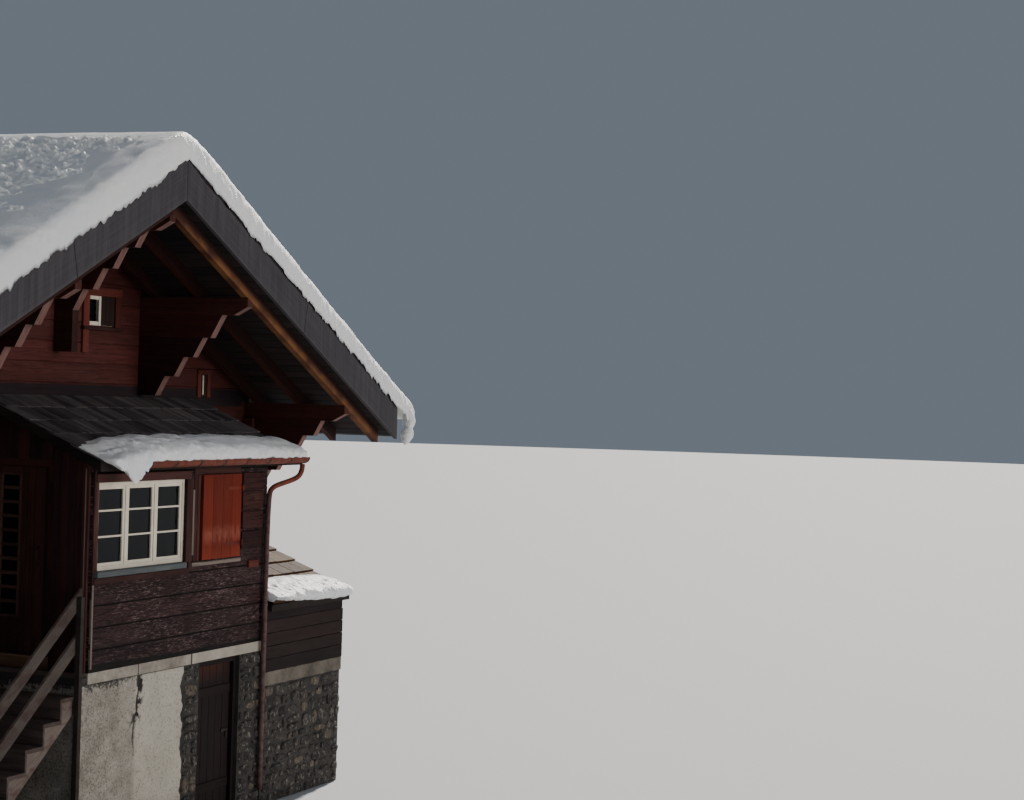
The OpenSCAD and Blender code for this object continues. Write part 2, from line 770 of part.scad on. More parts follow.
// Snow along the eave, with a tongue that hangs down in front of the gutter
module porch_snow() color("white") {
    z0 = porch_z(porch_depth + porch_eave) + porch_roof_rise + 2 * seat;
    y0 = porch_eave_y;
    along_x(porch_left, porch_right + porch_verge_right) polygon([
        [y0, z0], [y0 - 60, z0 + low_snow * 0.1], [y0 - 75, z0 + low_snow * 0.5], [y0 - 40, z0 + low_snow * 0.9],
        [y0 + 40, z0 + low_snow * 1.1],
        [y0 + low_snow_reach * 0.7, z0 + low_snow * 0.55 + porch_slope * low_snow_reach * 0.7],
        [y0 + low_snow_reach, z0 + porch_slope * low_snow_reach]]);
    tongue_left = porch_left - porch_verge_left * 0.7;
    tongue_right = tongue_left + tongue_w;
    face = y0 - 2 * gutter_r - 2;
    block([tongue_left, face - tongue_t, z0 + low_snow * 0.1], [tongue_right, y0, z0 + low_snow * 0.5]);
    along_y(face - tongue_t, face) polygon([
        [tongue_left, z0 + low_snow * 0.5], [tongue_left, z0], [tongue_left + tongue_w * 0.28, z0 - tongue_drop * 0.5],
        [tongue_left + tongue_w * 0.5, z0 - tongue_drop], [tongue_left + tongue_w * 0.72, z0 - tongue_drop * 0.58],
        [tongue_right, z0], [tongue_right, z0 + low_snow * 0.5]]);
}

gutter_z = porch_z(porch_depth + porch_eave) + porch_roof_rise * 0.95;
gutter_left = porch_left - porch_verge_left + gutter_inset;
gutter_right = porch_right + porch_verge_right - gutter_r;

module gutter() color("peru") {
    wall = 5;
    translate([0, porch_eave_y - gutter_r, gutter_z]) difference() {
        along_x(gutter_left, gutter_right) circle(gutter_r);
        along_x(gutter_left + wall, gutter_right - wall) circle(gutter_r - wall);
        block([gutter_left - over, -2 * gutter_r, 0], [gutter_right + over, 2 * gutter_r, 2 * gutter_r]);
    }
}

// Middle line of the downpipe: out of the gutter, in a wide bend to the corner post, and down it
gutter_y = porch_eave_y - gutter_r;
pipe_x = porch_right - 2 * pipe_r;
pipe_y = lean_front - pipe_r - 5;
outlet_x = gutter_right - 1.7 * pipe_r;
outlet_z = gutter_z - gutter_r;
bend = outlet_x - pipe_x;
pipe_line = [
    [pipe_x, pipe_y, pipe_foot],
    [pipe_x, pipe_y, outlet_z - bend * 0.72],
    [pipe_x + bend * 0.06, pipe_y - 8, outlet_z - bend * 0.59],
    [pipe_x + bend * 0.2, pipe_y + (gutter_y - pipe_y) * 0.2, outlet_z - bend * 0.52],
    [pipe_x + bend * 0.7, pipe_y + (gutter_y - pipe_y) * 0.75, outlet_z - bend * 0.42],
    [pipe_x + bend * 0.93, pipe_y + (gutter_y - pipe_y) * 0.97, outlet_z - bend * 0.31],
    [outlet_x, gutter_y, outlet_z - bend * 0.15],
    [outlet_x, gutter_y, outlet_z + 4]];

// A round bar between two points, with a slightly larger ball round the first one
module limb(a, b, r) {
    d = b - a;
    len_d = norm(d);
    translate(a) rotate([0, acos(d[2] / len_d), atan2(d[1], d[0])]) cylinder(r = r, h = len_d);
    translate(a) sphere(r + 2);
}

module downpipe() color("peru") {
    difference() {
        for (i = [1:1:len(pipe_line) - 1])
            limb(pipe_line[i], pipe_line[i - 1], pipe_r);
        translate([0, gutter_y, gutter_z]) along_x(porch_right, gutter_right + over) circle(gutter_r + pin_clear);
    }
    clip_t = 12;
    for (share = [0.12, 0.7]) {
        z = cellar_height + share * porch_wall_h;
        block([pipe_x - clip_t / 2, pipe_y, z], [pipe_x + clip_t / 2, porch_front, z + 30]);
    }
}

// Main roof

module ridge_purlin() color("saddlebrown") purlin(0);

module mid_purlins() color("saddlebrown") for (x = [-mid_purlin_x, mid_purlin_x]) purlin(x);

module eave_purlins() color("saddlebrown") for (side = [-1, 1]) {
    purlin(side * eave_purlin_x);
    eave_plate(side);
    eave_boards(side);
}

// The part of an eave purlin that fills the thickness of the side wall between the gables
module eave_plate(side) {
    inner = half_w - log_t;
    scale([side, 1, 1]) along_y(front_y, back_y) polygon([
        [inner, plate_z], [eave_purlin_x, plate_z], [eave_purlin_x, rafter_z(eave_purlin_x) - seat],
        [inner, rafter_z(inner) - seat]]);
}

// Boards that close the eave between the rafters, standing on the purlin
module eave_boards(side) difference() {
    x1 = half_w;
    x0 = half_w - eave_board_t;
    scale([side, 1, 1]) along_y(front_y, back_y) polygon([
        [x0, rafter_z(x0) - eave_board_t], [x1, rafter_z(x1) - eave_board_t],
        [x1, rafter_z(x1) + rafter_rise], [x0, rafter_z(x0) + rafter_rise]]);
    all_rafters(side);
}

module consoles_front() color("sienna") translate([0, front_y, 0]) consoles();

module consoles_back() color("sienna") rotate(180) translate([0, front_y, 0]) consoles();

// The rafters of one slope, plumb at the ridge and at the eave
module all_rafters(side)
    for (i = [0:1:rafter_bays]) {
        y = front_y - rafter_reach + i * rafter_pitch;
        tail = eave_x - rafter_stop;
        scale([side, 1, 1]) along_y(y - rafter_w / 2, y + rafter_w / 2) polygon([
            [0, rafter_z(0)], [0, rafter_z(0) + rafter_rise], [tail, rafter_z(tail) + rafter_rise],
            [tail, rafter_z(tail)]]);
    }

module rafters_left() color("chocolate") all_rafters(-1);

module rafters_right() color("chocolate") all_rafters(1);

// A layer of the roof on one slope, between two heights above the rafters' underside
module roof_layer(side, low, high, y0, y1, x1)
    scale([side, 1, 1]) along_y(y0, y1) polygon([
        [0, ridge_z + low], [0, ridge_z + high], [x1, rafter_z(x1) + high], [x1, rafter_z(x1) + low]]);

roof_front = front_y - gable_overhang;
roof_back = back_y + gable_overhang;

module roof_left() color("dimgray") translate([0, 0, seat])
    roof_layer(-1, rafter_rise, deck_top, roof_front + barge_t, roof_back - barge_t, eave_x);

module roof_right() color("dimgray") translate([0, 0, seat])
    roof_layer(1, rafter_rise, deck_top, roof_front + barge_t, roof_back - barge_t, eave_x);

module barge_boards(y0)
    for (side = [-1, 1]) roof_layer(side, barge_low, deck_top, y0, y0 + barge_t, eave_x);

module barge_boards_front() color("darkslategray") barge_boards(roof_front);

module barge_boards_back() color("darkslategray") barge_boards(roof_back - barge_t);

// Height of the foot of the main roof's snow at a distance x from the ridge
function snow_base(x) = rafter_z(x) + deck_top + 2 * seat;

// Middle of the rolled lip of that snow
lip_r = snow_depth * 0.46;
lip_x = eave_x + snow_eave - lip_r;
lip = [lip_x, snow_base(lip_x) + lip_r / cos(roof_pitch)];

// Snow on one slope, with a rolled lip that stands out past the eave
module roof_snow(side) {
    turns = [for (a = [-90 - roof_pitch:18:90 - roof_pitch]) lip + lip_r * [cos(a), sin(a)]];
    crown = snow_depth * 0.9;
    scale([side, 1, 1]) along_y(roof_front - snow_lip, roof_back + snow_lip) polygon(concat(
        [[0, snow_base(0)]],
        turns,
        [[eave_x * 0.93, snow_base(eave_x * 0.93) + snow_rise], [crown, snow_base(crown) + snow_rise],
            [crown * 0.3, snow_base(crown * 0.3) + snow_rise * 0.985], [0, snow_base(0) + snow_rise + 8]]));
}

// Two clumps of slipped snow that hang from the front end of the right lip
module snow_clumps() {
    y = roof_front - snow_lip + lip_r * 1.25;
    translate([lip[0] + lip_r * 0.6, y, lip[1] - lip_r * 1.5]) sphere(lip_r * 1.15);
    translate([lip[0] - lip_r * 0.4, y, lip[1] - lip_r * 3]) sphere(lip_r * 1.05);
}

module roof_snow_left() color("white") roof_snow(-1);

module roof_snow_right() color("snow") {
    roof_snow(1);
    snow_clumps();
}

// Attic, side and rear windows

// The frames of the attic windows of one gable
module attic_frames() at_attic_windows() {
    window_frame(attic_window_w, attic_window_h, 2);
    window_frame(attic_light_w, attic_light_h, 1);
}

// The glass of the attic windows of one gable
module attic_glass() at_attic_windows() {
    window_glass(attic_window_w, attic_window_h);
    window_glass(attic_light_w, attic_light_h);
}

module attic_window_frames() color("ivory") {
    attic_frames();
    rotate(180) attic_frames();
}

module attic_window_glass() color("lightblue") {
    attic_glass();
    rotate(180) attic_glass();
}

module house_window_frames() color("ivory") {
    at_back_windows() window_frame(house_window_w, window_h, 2);
    for (turn = [-90, 90]) at_side_windows(turn) window_frame(house_window_w, window_h, 2);
}

module house_window_glass() color("lightblue") {
    at_back_windows() window_glass(house_window_w, window_h);
    for (turn = [-90, 90]) at_side_windows(turn) window_glass(house_window_w, window_h);
}

// Outside stair

// Distance from the ridge of the front edge of a tread, and height of the nosings there
function tread_x(i) = stair_top - (risers - i) * going;
function nosing_z(x) = cellar_height + stair_slope * (x - stair_top);

// Two strings cut to the steps
module stair_strings() color("saddlebrown") {
    drop = string_depth / cos(stair_angle);
    steps = [for (i = [1:1:risers - 1]) each [
        [tread_x(i) + riser_t, max((i - 1) * riser - tread_t, 0)], [tread_x(i) + riser_t, i * riser - tread_t]]];
    for (y = [stair_front + tread_reach, stair_back - string_t - tread_reach])
        along_y(y, y + string_t) polygon(concat(steps, [
            [stair_top, (risers - 1) * riser - tread_t], [stair_top, cellar_height - drop],
            [stair_top + (drop - cellar_height) / stair_slope, 0]]));
}

// Treads and riser boards as one folded section, and the last tread on the plinth
module stair_treads() color("peru") {
    outside = [for (i = [1:1:risers - 1]) each [[tread_x(i), (i - 1) * riser], [tread_x(i), i * riser]]];
    inside = [for (i = [risers - 1:-1:1]) each [
        [tread_x(i) + riser_t, i * riser - tread_t], [tread_x(i) + riser_t, max((i - 1) * riser - tread_t, 0)]]];
    along_y(stair_front, stair_back) polygon(concat(
        outside, [[stair_top, (risers - 1) * riser], [stair_top, (risers - 1) * riser - tread_t]], inside));
    block([stair_top, stair_front, cellar_height - tread_t], [porch_left, stair_back, cellar_height]);
}

// Two posts outside the treads, with two sloping boards on their inner faces
module stair_railing() color("gray") {
    x0 = tread_x(1);
    x1 = porch_left - plinth_w * 0.7;
    for (drop = [0, rail_h / 2])
        along_y(stair_front, stair_front + rail_t) polygon([
            [x0, nosing_z(x0) + rail_h - drop], [x1, nosing_z(x1) + rail_h - drop],
            [x1, nosing_z(x1) + rail_h - drop - rail_board / cos(stair_angle)],
            [x0, nosing_z(x0) + rail_h - drop - rail_board / cos(stair_angle)]]);
    for (x = [x0 + going / 2, stair_top - post_s])
        block([x, stair_front - post_s, 0], [x + post_s, stair_front, nosing_z(x) + rail_h - 10]);
}

cellar_floor();
base_wall_front();
base_wall_sides();
base_wall_back();
porch_base_front();
porch_base_sides();
porch_sill_band();
cellar_door_frame();
cellar_door();
lean_to_base();
lean_to_walls();
lean_to_roof();
lean_to_snow();
main_floor();
attic_floor();
gable_wall_front_lower();
gable_wall_front_upper();
gable_wall_back_lower();
gable_wall_back_upper();
side_wall_left();
side_wall_right();
porch_wall_front();
porch_wall_left();
porch_wall_right();
porch_wall_over_door();
porch_window_frames();
porch_window_glass();
shutter();
entrance_frame();
entrance_door();
entrance_door_glass();
hinge_pins();
porch_roof();
porch_snow();
gutter();
downpipe();
ridge_purlin();
mid_purlins();
eave_purlins();
consoles_front();
consoles_back();
rafters_left();
rafters_right();
roof_left();
roof_right();
barge_boards_front();
barge_boards_back();
roof_snow_left();
roof_snow_right();
attic_window_frames();
attic_window_glass();
house_window_frames();
house_window_glass();
stair_strings();
stair_treads();
stair_railing();
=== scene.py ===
"""Looks of an alpine log chalet in winter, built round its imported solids.

Metres. +X runs along the gables, +Y into the house, +Z up, and the origin is on the ground in the
middle of the house. The solids that show their real shape keep it and get a material. Snow,
stones, boards, shingles, sashes, casings and brackets are new pieces, laid on those solids.
"""

import math

import bpy
import numpy as np
from mathutils import Matrix


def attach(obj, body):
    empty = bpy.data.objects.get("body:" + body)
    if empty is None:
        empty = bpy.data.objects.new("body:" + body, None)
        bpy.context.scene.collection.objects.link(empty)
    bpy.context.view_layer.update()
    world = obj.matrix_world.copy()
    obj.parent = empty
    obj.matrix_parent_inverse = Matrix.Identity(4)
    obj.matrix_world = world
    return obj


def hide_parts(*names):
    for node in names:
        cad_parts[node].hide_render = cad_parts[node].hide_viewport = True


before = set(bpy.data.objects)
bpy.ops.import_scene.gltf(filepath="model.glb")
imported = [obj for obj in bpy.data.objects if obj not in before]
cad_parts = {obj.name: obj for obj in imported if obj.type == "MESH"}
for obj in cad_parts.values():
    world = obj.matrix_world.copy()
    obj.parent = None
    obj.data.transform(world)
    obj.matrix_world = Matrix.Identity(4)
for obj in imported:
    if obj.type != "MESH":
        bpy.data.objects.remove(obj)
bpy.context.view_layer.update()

# Sizes of the house, as its solids have them
HALF_WIDTH = 3.97
GABLE_FACE = 4.0
PITCH = math.radians(26.7)
SLOPE = math.tan(PITCH)
EAVE_Z = 4.52
RIDGE_Z = EAVE_Z + SLOPE * HALF_WIDTH
RAFTER_RISE = 0.15 / math.cos(PITCH)
DECK_TOP = RAFTER_RISE + 0.37 / math.cos(PITCH)
APEX = RIDGE_Z + DECK_TOP
EAVE_X = 4.95
VERGE_Y = 5.58
CELLAR_Z = 1.88
COURSE = 0.22
PORCH_LEFT = -1.13
PORCH_RIGHT = 2.22
PORCH_FACE = -5.33
PORCH_TOP = 3.94
PORCH_SLOPE = (EAVE_Z - 0.015 - PORCH_TOP) / 1.33
PLINTH_LEFT = -1.24
GUTTER_Y = -5.545
GUTTER_Z = 3.964
LEAN_FACE = -5.345
LEAN_RIGHT = 4.05
LEAN_TOP = 2.25
PORCH_EAVE_Y = PORCH_FACE - 0.15
LEAN_EAVE_Y = LEAN_FACE - 0.095
PORCH_ROOF_Z = PORCH_TOP - 0.15 * PORCH_SLOPE + 0.085 / math.cos(math.atan(PORCH_SLOPE))
LEAN_ROOF_Z = LEAN_TOP - 0.095 * PORCH_SLOPE + 0.07 / math.cos(math.atan(PORCH_SLOPE))
SILL_Z = CELLAR_Z + 1.0
WINDOW_HEIGHT = 0.88
BAR_HEIGHTS = (3.213, 3.473)
PIPE_X = 2.16
PIPE_Y = -5.38
BASE_STONES_TOP = 1.87
PLASTER_TOP = 1.766
PORCH_STONES_TOP = 1.765
LEAN_STONES_TOP = 1.35
BAND_JOINTS = (-0.254, 0.745)

X_AXIS, Y_AXIS, Z_AXIS = np.eye(3)
FRONT = (0.0, -1.0, 0.0)
BACK = (0.0, 1.0, 0.0)
LEFT = (-1.0, 0.0, 0.0)
RIGHT = (1.0, 0.0, 0.0)


# Camera, as the photograph was taken


def add_camera(place, level_direction, roll_degrees, lens):
    """A camera that looks level along level_direction, its picture turned clockwise by the roll."""
    forward = np.array([level_direction[0], level_direction[1], 0.0])
    forward /= np.linalg.norm(forward)
    level_right = np.array([forward[1], -forward[0], 0.0])
    roll = math.radians(roll_degrees)
    right = math.cos(roll) * level_right + math.sin(roll) * Z_AXIS
    up = math.cos(roll) * Z_AXIS - math.sin(roll) * level_right
    data = bpy.data.cameras.new("camera")
    data.lens = lens
    data.sensor_width = 36.0
    data.clip_end = 400.0
    camera = bpy.data.objects.new("camera", data)
    placing = np.eye(4)
    placing[:3, :3] = np.column_stack([right, up, -forward])
    placing[:3, 3] = place
    camera.matrix_world = Matrix(placing.tolist())
    bpy.context.scene.collection.objects.link(camera)
    bpy.context.scene.camera = camera


add_camera(place=(-17.54, -16.93, 4.70), level_direction=(0.917, 0.399), roll_degrees=1.75, lens=70.3)


# Shader helpers


class Value:
    """An output of a shader node. What +, -, *, / and abs() make of it is a Math node's output."""

    def __init__(self, tree, socket):
        self.tree, self.socket = tree, socket

    def maths(self, operation, first, second=0.0):
        """A Math node's result for two numbers or values."""
        return output(self.tree, "ShaderNodeMath", 0, {0: first, 1: second}, operation=operation)

    def __add__(self, other):
        return self.maths("ADD", self, other)

    def __radd__(self, other):
        return self.maths("ADD", other, self)

    def __sub__(self, other):
        return self.maths("SUBTRACT", self, other)

    def __rsub__(self, other):
        return self.maths("SUBTRACT", other, self)

    def __mul__(self, other):
        return self.maths("MULTIPLY", self, other)

    def __truediv__(self, other):
        return self.maths("DIVIDE", self, other)

    def __abs__(self):
        return self.maths("ABSOLUTE", self)


def add(tree, kind, sockets=None, **settings):
    """One shader node. sockets holds a number, a vector or a Value for each named input."""
    node = tree.nodes.new(kind)
    for key, setting in settings.items():
        setattr(node, key, setting)
    for key, given in (sockets or {}).items():
        if isinstance(given, Value):
            tree.links.new(given.socket, node.inputs[key])
        else:
            node.inputs[key].default_value = given
    return node


def output(tree, kind, key, sockets=None, **settings):
    """The output called key of a new shader node."""
    return Value(tree, add(tree, kind, sockets, **settings).outputs[key])


def new_material(name):
    """An empty node material, and the shaded point in metres in the frame of the house."""
    material = bpy.data.materials.new(name)
    material.use_nodes = True
    material.node_tree.nodes.clear()
    return material, output(material.node_tree, "ShaderNodeTexCoord", "Object")


def attribute(place, name, key="Fac"):
    """A mark of the mesh at the shaded point."""
    return output(place.tree, "ShaderNodeAttribute", key, attribute_name=name)


def whole(value):
    """A value rounded down."""
    return value.maths("FLOOR", value)


def fraction(value):
    """What a value has past the whole number below it."""
    return value.maths("FRACT", value)


def noise(place, scale, detail=3.0, rough=0.55, twist=0.0):
    """Smooth noise between 0 and 1 at a place, scale lumps to the metre."""
    sockets = {"Vector": place, "Scale": scale, "Detail": detail, "Roughness": rough, "Distortion": twist}
    return output(place.tree, "ShaderNodeTexNoise", "Fac", sockets)


def stretched(place, scale, offset=(0.0, 0.0, 0.0)):
    """A place with each of its three numbers scaled, so that noise read there is drawn out."""
    return output(place.tree, "ShaderNodeMapping", 0, {"Vector": place, "Scale": scale, "Location": offset})


def random_number(number):
    """A random number between 0 and 1 for each number."""
    return output(number.tree, "ShaderNodeTexWhiteNoise", "Value", {"W": number}, noise_dimensions="1D")


def blend(amount, first, second):
    """Two colours mixed by an amount. A colour is a value or three numbers."""
    first, second = (c if isinstance(c, Value) else (*c, 1.0) for c in (first, second))
    return output(amount.tree, "ShaderNodeMix", 2, {0: amount, 6: first, 7: second}, data_type="RGBA")


def shaded(rgb, share):
    """A colour with each of its numbers multiplied by a share."""
    return tuple(share * number for number in rgb)


def span(value, low, high, new_low=0.0, new_high=1.0):
    """A value mapped from one span to another, and kept within it."""
    sockets = {"Value": value, "From Min": low, "From Max": high, "To Min": new_low, "To Max": new_high}
    return output(value.tree, "ShaderNodeMapRange", 0, sockets)


def finish(material, base, rough, height=None, relief=0.002, **constants):
    """The material with its surface shader, its bump, and constants for its other named sockets."""
    tree = material.node_tree
    shader = add(tree, "ShaderNodeBsdfPrincipled", {"Base Color": base, "Roughness": rough})
    for key, value in constants.items():
        shader.inputs[key.replace("_", " ")].default_value = value
    if height is not None:
        bump = add(tree, "ShaderNodeBump", {"Height": height, "Distance": relief, "Strength": 1.0})
        tree.links.new(bump.outputs[0], shader.inputs["Normal"])
    surface = add(tree, "ShaderNodeOutputMaterial")
    tree.links.new(shader.outputs[0], surface.inputs["Surface"])
    return material


def parts_of(vector):
    """The three numbers of a vector, as values."""
    outputs = add(vector.tree, "ShaderNodeSeparateXYZ", {0: vector}).outputs
    return [Value(vector.tree, outputs[k]) for k in range(3)]


def joined(x, y, z):
    """A vector of three values, or of a value and numbers."""
    return output(x.tree, "ShaderNodeCombineXYZ", 0, {0: x, 1: y, 2: z})


# Woods


def grain_place(place, grain):
    """Where a point lies in its timber: along the grain, across it, and the timber's own number.

    Boards carry this as the grain attribute. For a solid it comes from Object coordinates, the
    grain along the named axis, and its number from the level of the log course.
    """
    if grain == "boards":
        vector = attribute(place, "grain", "Vector")
        along, across, number = parts_of(vector)
        tone = attribute(place, "tone")
        return joined(along, across, number * 3.7), tone
    x, y, z = parts_of(place)
    shift = 0.0 if grain == "X" else COURSE / 2
    course = whole((z - (CELLAR_Z - shift)) / COURSE)
    side = whole((y if grain == "X" else x) / 1.2)
    number = course * 5.3 + side * 2.1
    tone = random_number(number)
    if grain == "X":
        return joined(x + number, z + y, number), tone
    if grain == "Y":
        return joined(y + number, z + x, number), tone
    if grain == "Z":
        return joined(z, x + y, side * 0.3), tone
    row_of = whole(y / 0.3)
    tone = random_number(row_of)
    drop = z + abs(x) * SLOPE
    return joined(x, y + drop, row_of), tone


def wood(name, grain, dark, warm, pale, worn=0.35, rough=0.78, relief=0.0025, cracks=0.5, shine=0.2,
         extra=None):
    """Timber: streaks drawn out along the grain, fine fibres, drying cracks and faded patches.

    Colour = dark to warm by the streaks and by the timber's own tone, then towards pale where the
    fading noise is high, then darkened in the cracks. extra may change it once more.
    """
    material, place = new_material(name)
    timber, tone = grain_place(place, grain)
    streaks = noise(stretched(timber, (1.3, 34.0, 1.0)), 1.0, 5.0, 0.62, 0.3)
    fibres = noise(stretched(timber, (7.0, 260.0, 1.0)), 1.0, 3.0, 0.6)
    split = noise(stretched(timber, (0.9, 21.0, 1.0), (5.0, 3.0, 0.0)), 1.0, 4.0, 0.7, 0.6)
    crack = span(abs(split - 0.5), 0.0, 0.016, 1.0, 0.0)
    patches = noise(stretched(timber, (1.1, 5.0, 1.0), (2.0, 8.0, 1.0)), 1.0, 6.0, 0.7)
    shade = streaks * 0.75 + tone * 0.45
    base = blend(span(shade, 0.35, 0.85), dark, warm)
    fade = span(patches, 0.5, 0.72) * span(fibres, 0.3, 0.75)
    base = blend(fade * worn, base, pale)
    base = blend(crack * cracks, base, shaded(dark, 0.25))
    if extra is not None:
        base = extra(base, place)
    height = streaks * 0.6 + fibres * 0.35 - crack * cracks
    roughness = span(fibres, 0.0, 1.0, rough - 0.12, rough + 0.1)
    return finish(material, base, roughness, height, relief, Specular_IOR_Level=shine)


def pale_ends(end_y, pale):
    """A change of colour for purlins and consoles: their slanted cut ends are paler."""

    def change(base, place):
        """Streaks of the pale colour, where the face slants along Y and lies past end_y."""
        normal = output(base.tree, "ShaderNodeNewGeometry", "True Normal")
        facing = abs(parts_of(normal)[1])
        slanted = span(facing, 0.3, 0.42) * span(facing, 0.99, 0.96)
        y = parts_of(place)[1]
        cut = slanted * span(abs(y), end_y, end_y + 0.02)
        streaks = noise(stretched(place, (60.0, 4.0, 3.0)), 1.0, 4.0, 0.65, 0.4)
        wood_end = blend(span(streaks, 0.35, 0.65), shaded(pale, 0.5), pale)
        return blend(cut, base, wood_end)

    return change


def painted_rafter_light(base, place):
    """Painted light: the right-hand rafter nearest to the verge is orange-brown along its foot, standing
    for light thrown up onto it from the sunlit snow on the ground.
    """
    x, y, z = parts_of(place)
    rise = z + x * SLOPE - RIDGE_Z
    low = span(rise, 0.11, 0.03) * span(x, 0.0, 0.05)
    outer = span(abs(y), 5.1, 5.2) * low
    patches = noise(place, 2.3, 4.0)
    # painted light: orange-brown on the outermost rafter's foot stands for light thrown up from the snow
    orange = blend(span(patches, 0.4, 0.62), (0.05, 0.016, 0.01), (0.17, 0.07, 0.027))
    return blend(outer, base, orange)


def barge_marks(base, place):
    """Plumb rain streaks, a ragged black band along the top edge that is painted shadow under the
    overhanging snow, a paler line along the lower edge, and the dark joints at the ridge and where two
    lengths of board meet."""
    x, _, z = parts_of(place)
    below = APEX - (z + abs(x) * SLOPE)
    rain = noise(stretched(place, (17.0, 1.0, 1.1)), 1.0, 4.0, 0.65)
    base = blend(span(rain, 0.45, 0.8, 0.0, 0.4), base, (0.1, 0.095, 0.105))
    base = blend(span(rain, 0.2, 0.42, 0.4, 0.0), base, (0.022, 0.02, 0.023))
    # painted shadow: the ragged black band along the top edge stands for the shade under the snow's foot
    ragged = noise(stretched(place, (11.0, 1.0, 2.0)), 1.0, 4.0) * 0.05
    edge = ragged + span(x, -0.1, 0.3, -0.012, 0.022)
    top = span(below - edge, 0.0, 0.008, 0.96, 0.0)
    base = blend(top, base, (0.007, 0.004, 0.006))
    base = blend(span(below, 0.415, 0.43, 0.0, 0.1), base, (0.16, 0.15, 0.15))
    for joint_x, lean in ((0.0, 0.0), (-1.93, 0.2), (2.6, -0.2)):
        gap = abs(x - joint_x - below * lean)
        base = blend(span(gap, 0.004, 0.008, 0.9, 0.0), base, (0.01, 0.009, 0.009))
    return base


def beam_at_eave(base, place):
    """The course at the eave line is a greyer and darker beam."""
    z = parts_of(place)[2]
    low = span(z, EAVE_Z - 0.004, EAVE_Z + 0.002)
    high = span(z, EAVE_Z + 0.195, EAVE_Z + 0.205, 1.0, 0.0)
    return blend(low * (high * 0.85), base, (0.009, 0.007, 0.01))


def shutter_marks(base, place):
    """The shutter's paint has faded in a band low down and is darker near its head."""
    z = parts_of(place)[2]
    worn = noise(stretched(place, (26.0, 26.0, 7.0)), 1.0, 4.0, 0.7)
    faded = span(abs(z - 3.14), 0.02, 0.12, 0.45, 0.0) * span(worn, 0.35, 0.6)
    base = blend(faded, base, (0.34, 0.12, 0.08))
    base = blend(span(z, 2.9, 3.05, 0.3, 0.0), base, (0.26, 0.05, 0.025))
    return blend(span(z, 3.4, 3.8, 0.0, 0.35), base, (0.07, 0.01, 0.007))


def rail_marks(base, place):
    """The posts of the stair are near black, and its rails are stained red-brown in places."""
    y = parts_of(place)[1]
    stains = noise(stretched(place, (3.0, 3.0, 6.0)), 1.0, 5.0, 0.7)
    base = blend(span(stains, 0.48, 0.62, 0.0, 0.6), base, (0.075, 0.026, 0.022))
    post = span(y, -5.288, -5.291) * span(y, -5.36, -5.35)
    return blend(post * 0.85, base, (0.012, 0.009, 0.009))


def porch_log_marks(base, place):
    """Short pale flecks, dark joints between the courses, and a black band just over the sill band, which
    is painted shadow at the foot of the logs.
    """
    x, _, z = parts_of(place)
    flecks = noise(stretched(place, (13.0, 13.0, 95.0)), 1.0, 5.0, 0.78, 0.3)
    thick = noise(place, 3.1, 4.0)
    fleck = span(flecks, 0.53, 0.62) * span(thick, 0.4, 0.62, 0.15, 0.75)
    base = blend(fleck, base, (0.24, 0.175, 0.165))
    turn = fraction((z - (CELLAR_Z - COURSE / 2)) / COURSE)
    joint = abs(turn - 0.5)
    base = blend(span(joint, 0.03, 0.055, 0.85, 0.0), base, (0.006, 0.003, 0.003))
    # painted shadow: black along the foot of the logs, just over the sill band, reaching a little higher on
    # the left
    gap = z + span(x, -1.1, 0.4, -0.03, 0.0)
    return blend(span(gap, 1.92, 1.94, 0.93, 0.0), base, (0.005, 0.003, 0.003))


def door_marks(base, place):
    """The cellar door and its frame are near black."""
    z = parts_of(place)[2]
    return blend(span(z, 1.8, 1.9, 0.85, 0.0), base, (0.005, 0.0035, 0.0035))


def door_head_marks(base, place):
    """Red-brown is left at the head of the cellar door."""
    base = door_marks(base, place)
    x, _, z = parts_of(place)
    head = span(z, 1.5, 1.68) * span(z, 1.72, 1.8, 0.45, 0.0)
    head = head * span(x, 1.62, 1.3, 0.3, 1.0)
    return blend(head, base, (0.08, 0.018, 0.01))


GABLE_LOGS = wood("gable_logs", "X", (0.032, 0.009, 0.008), (0.085, 0.02, 0.017), (0.16, 0.075, 0.065),
                  0.45, extra=beam_at_eave)
SIDE_LOGS = wood("side_logs", "Y", (0.032, 0.01, 0.009), (0.085, 0.022, 0.018), (0.17, 0.08, 0.07), 0.45)
PORCH_LOGS = wood("porch_logs", "X", (0.009, 0.003, 0.004), (0.03, 0.01, 0.011), (0.13, 0.08, 0.075),
                  0.55, relief=0.004, cracks=0.8, extra=porch_log_marks)
PORCH_SIDE = wood("porch_side", "Z", (0.012, 0.005, 0.005), (0.035, 0.012, 0.011), (0.11, 0.07, 0.06), 0.4)
DARK_BOARDS = wood("dark_boards", "boards", (0.012, 0.005, 0.005), (0.045, 0.014, 0.012),
                   (0.1, 0.05, 0.045), 0.4)
LEAN_BOARDS = wood("lean_boards", "boards", (0.007, 0.004, 0.004), (0.022, 0.011, 0.01),
                   (0.08, 0.055, 0.05), 0.4)
CASING = wood("casing", "boards", (0.026, 0.009, 0.008), (0.07, 0.023, 0.02), (0.18, 0.1, 0.085), 0.45)
RED_CASING = wood("red_casing", "boards", (0.055, 0.012, 0.009), (0.13, 0.028, 0.02),
                  (0.22, 0.09, 0.07), 0.4)
PALE_TRIM = wood("pale_trim", "boards", (0.13, 0.1, 0.085), (0.27, 0.22, 0.19), (0.42, 0.38, 0.35), 0.6)
SILL_BLUE = wood("blue_grey_sill", "boards", (0.042, 0.049, 0.053), (0.1, 0.114, 0.12),
                 (0.26, 0.28, 0.285), 0.45, relief=0.001, cracks=0.3)
SHUTTER_RED = wood("shutter_red", "boards", (0.085, 0.009, 0.004), (0.16, 0.019, 0.008),
                   (0.25, 0.06, 0.03), 0.35, rough=0.65, relief=0.001, cracks=0.25, shine=0.1,
                   extra=shutter_marks)
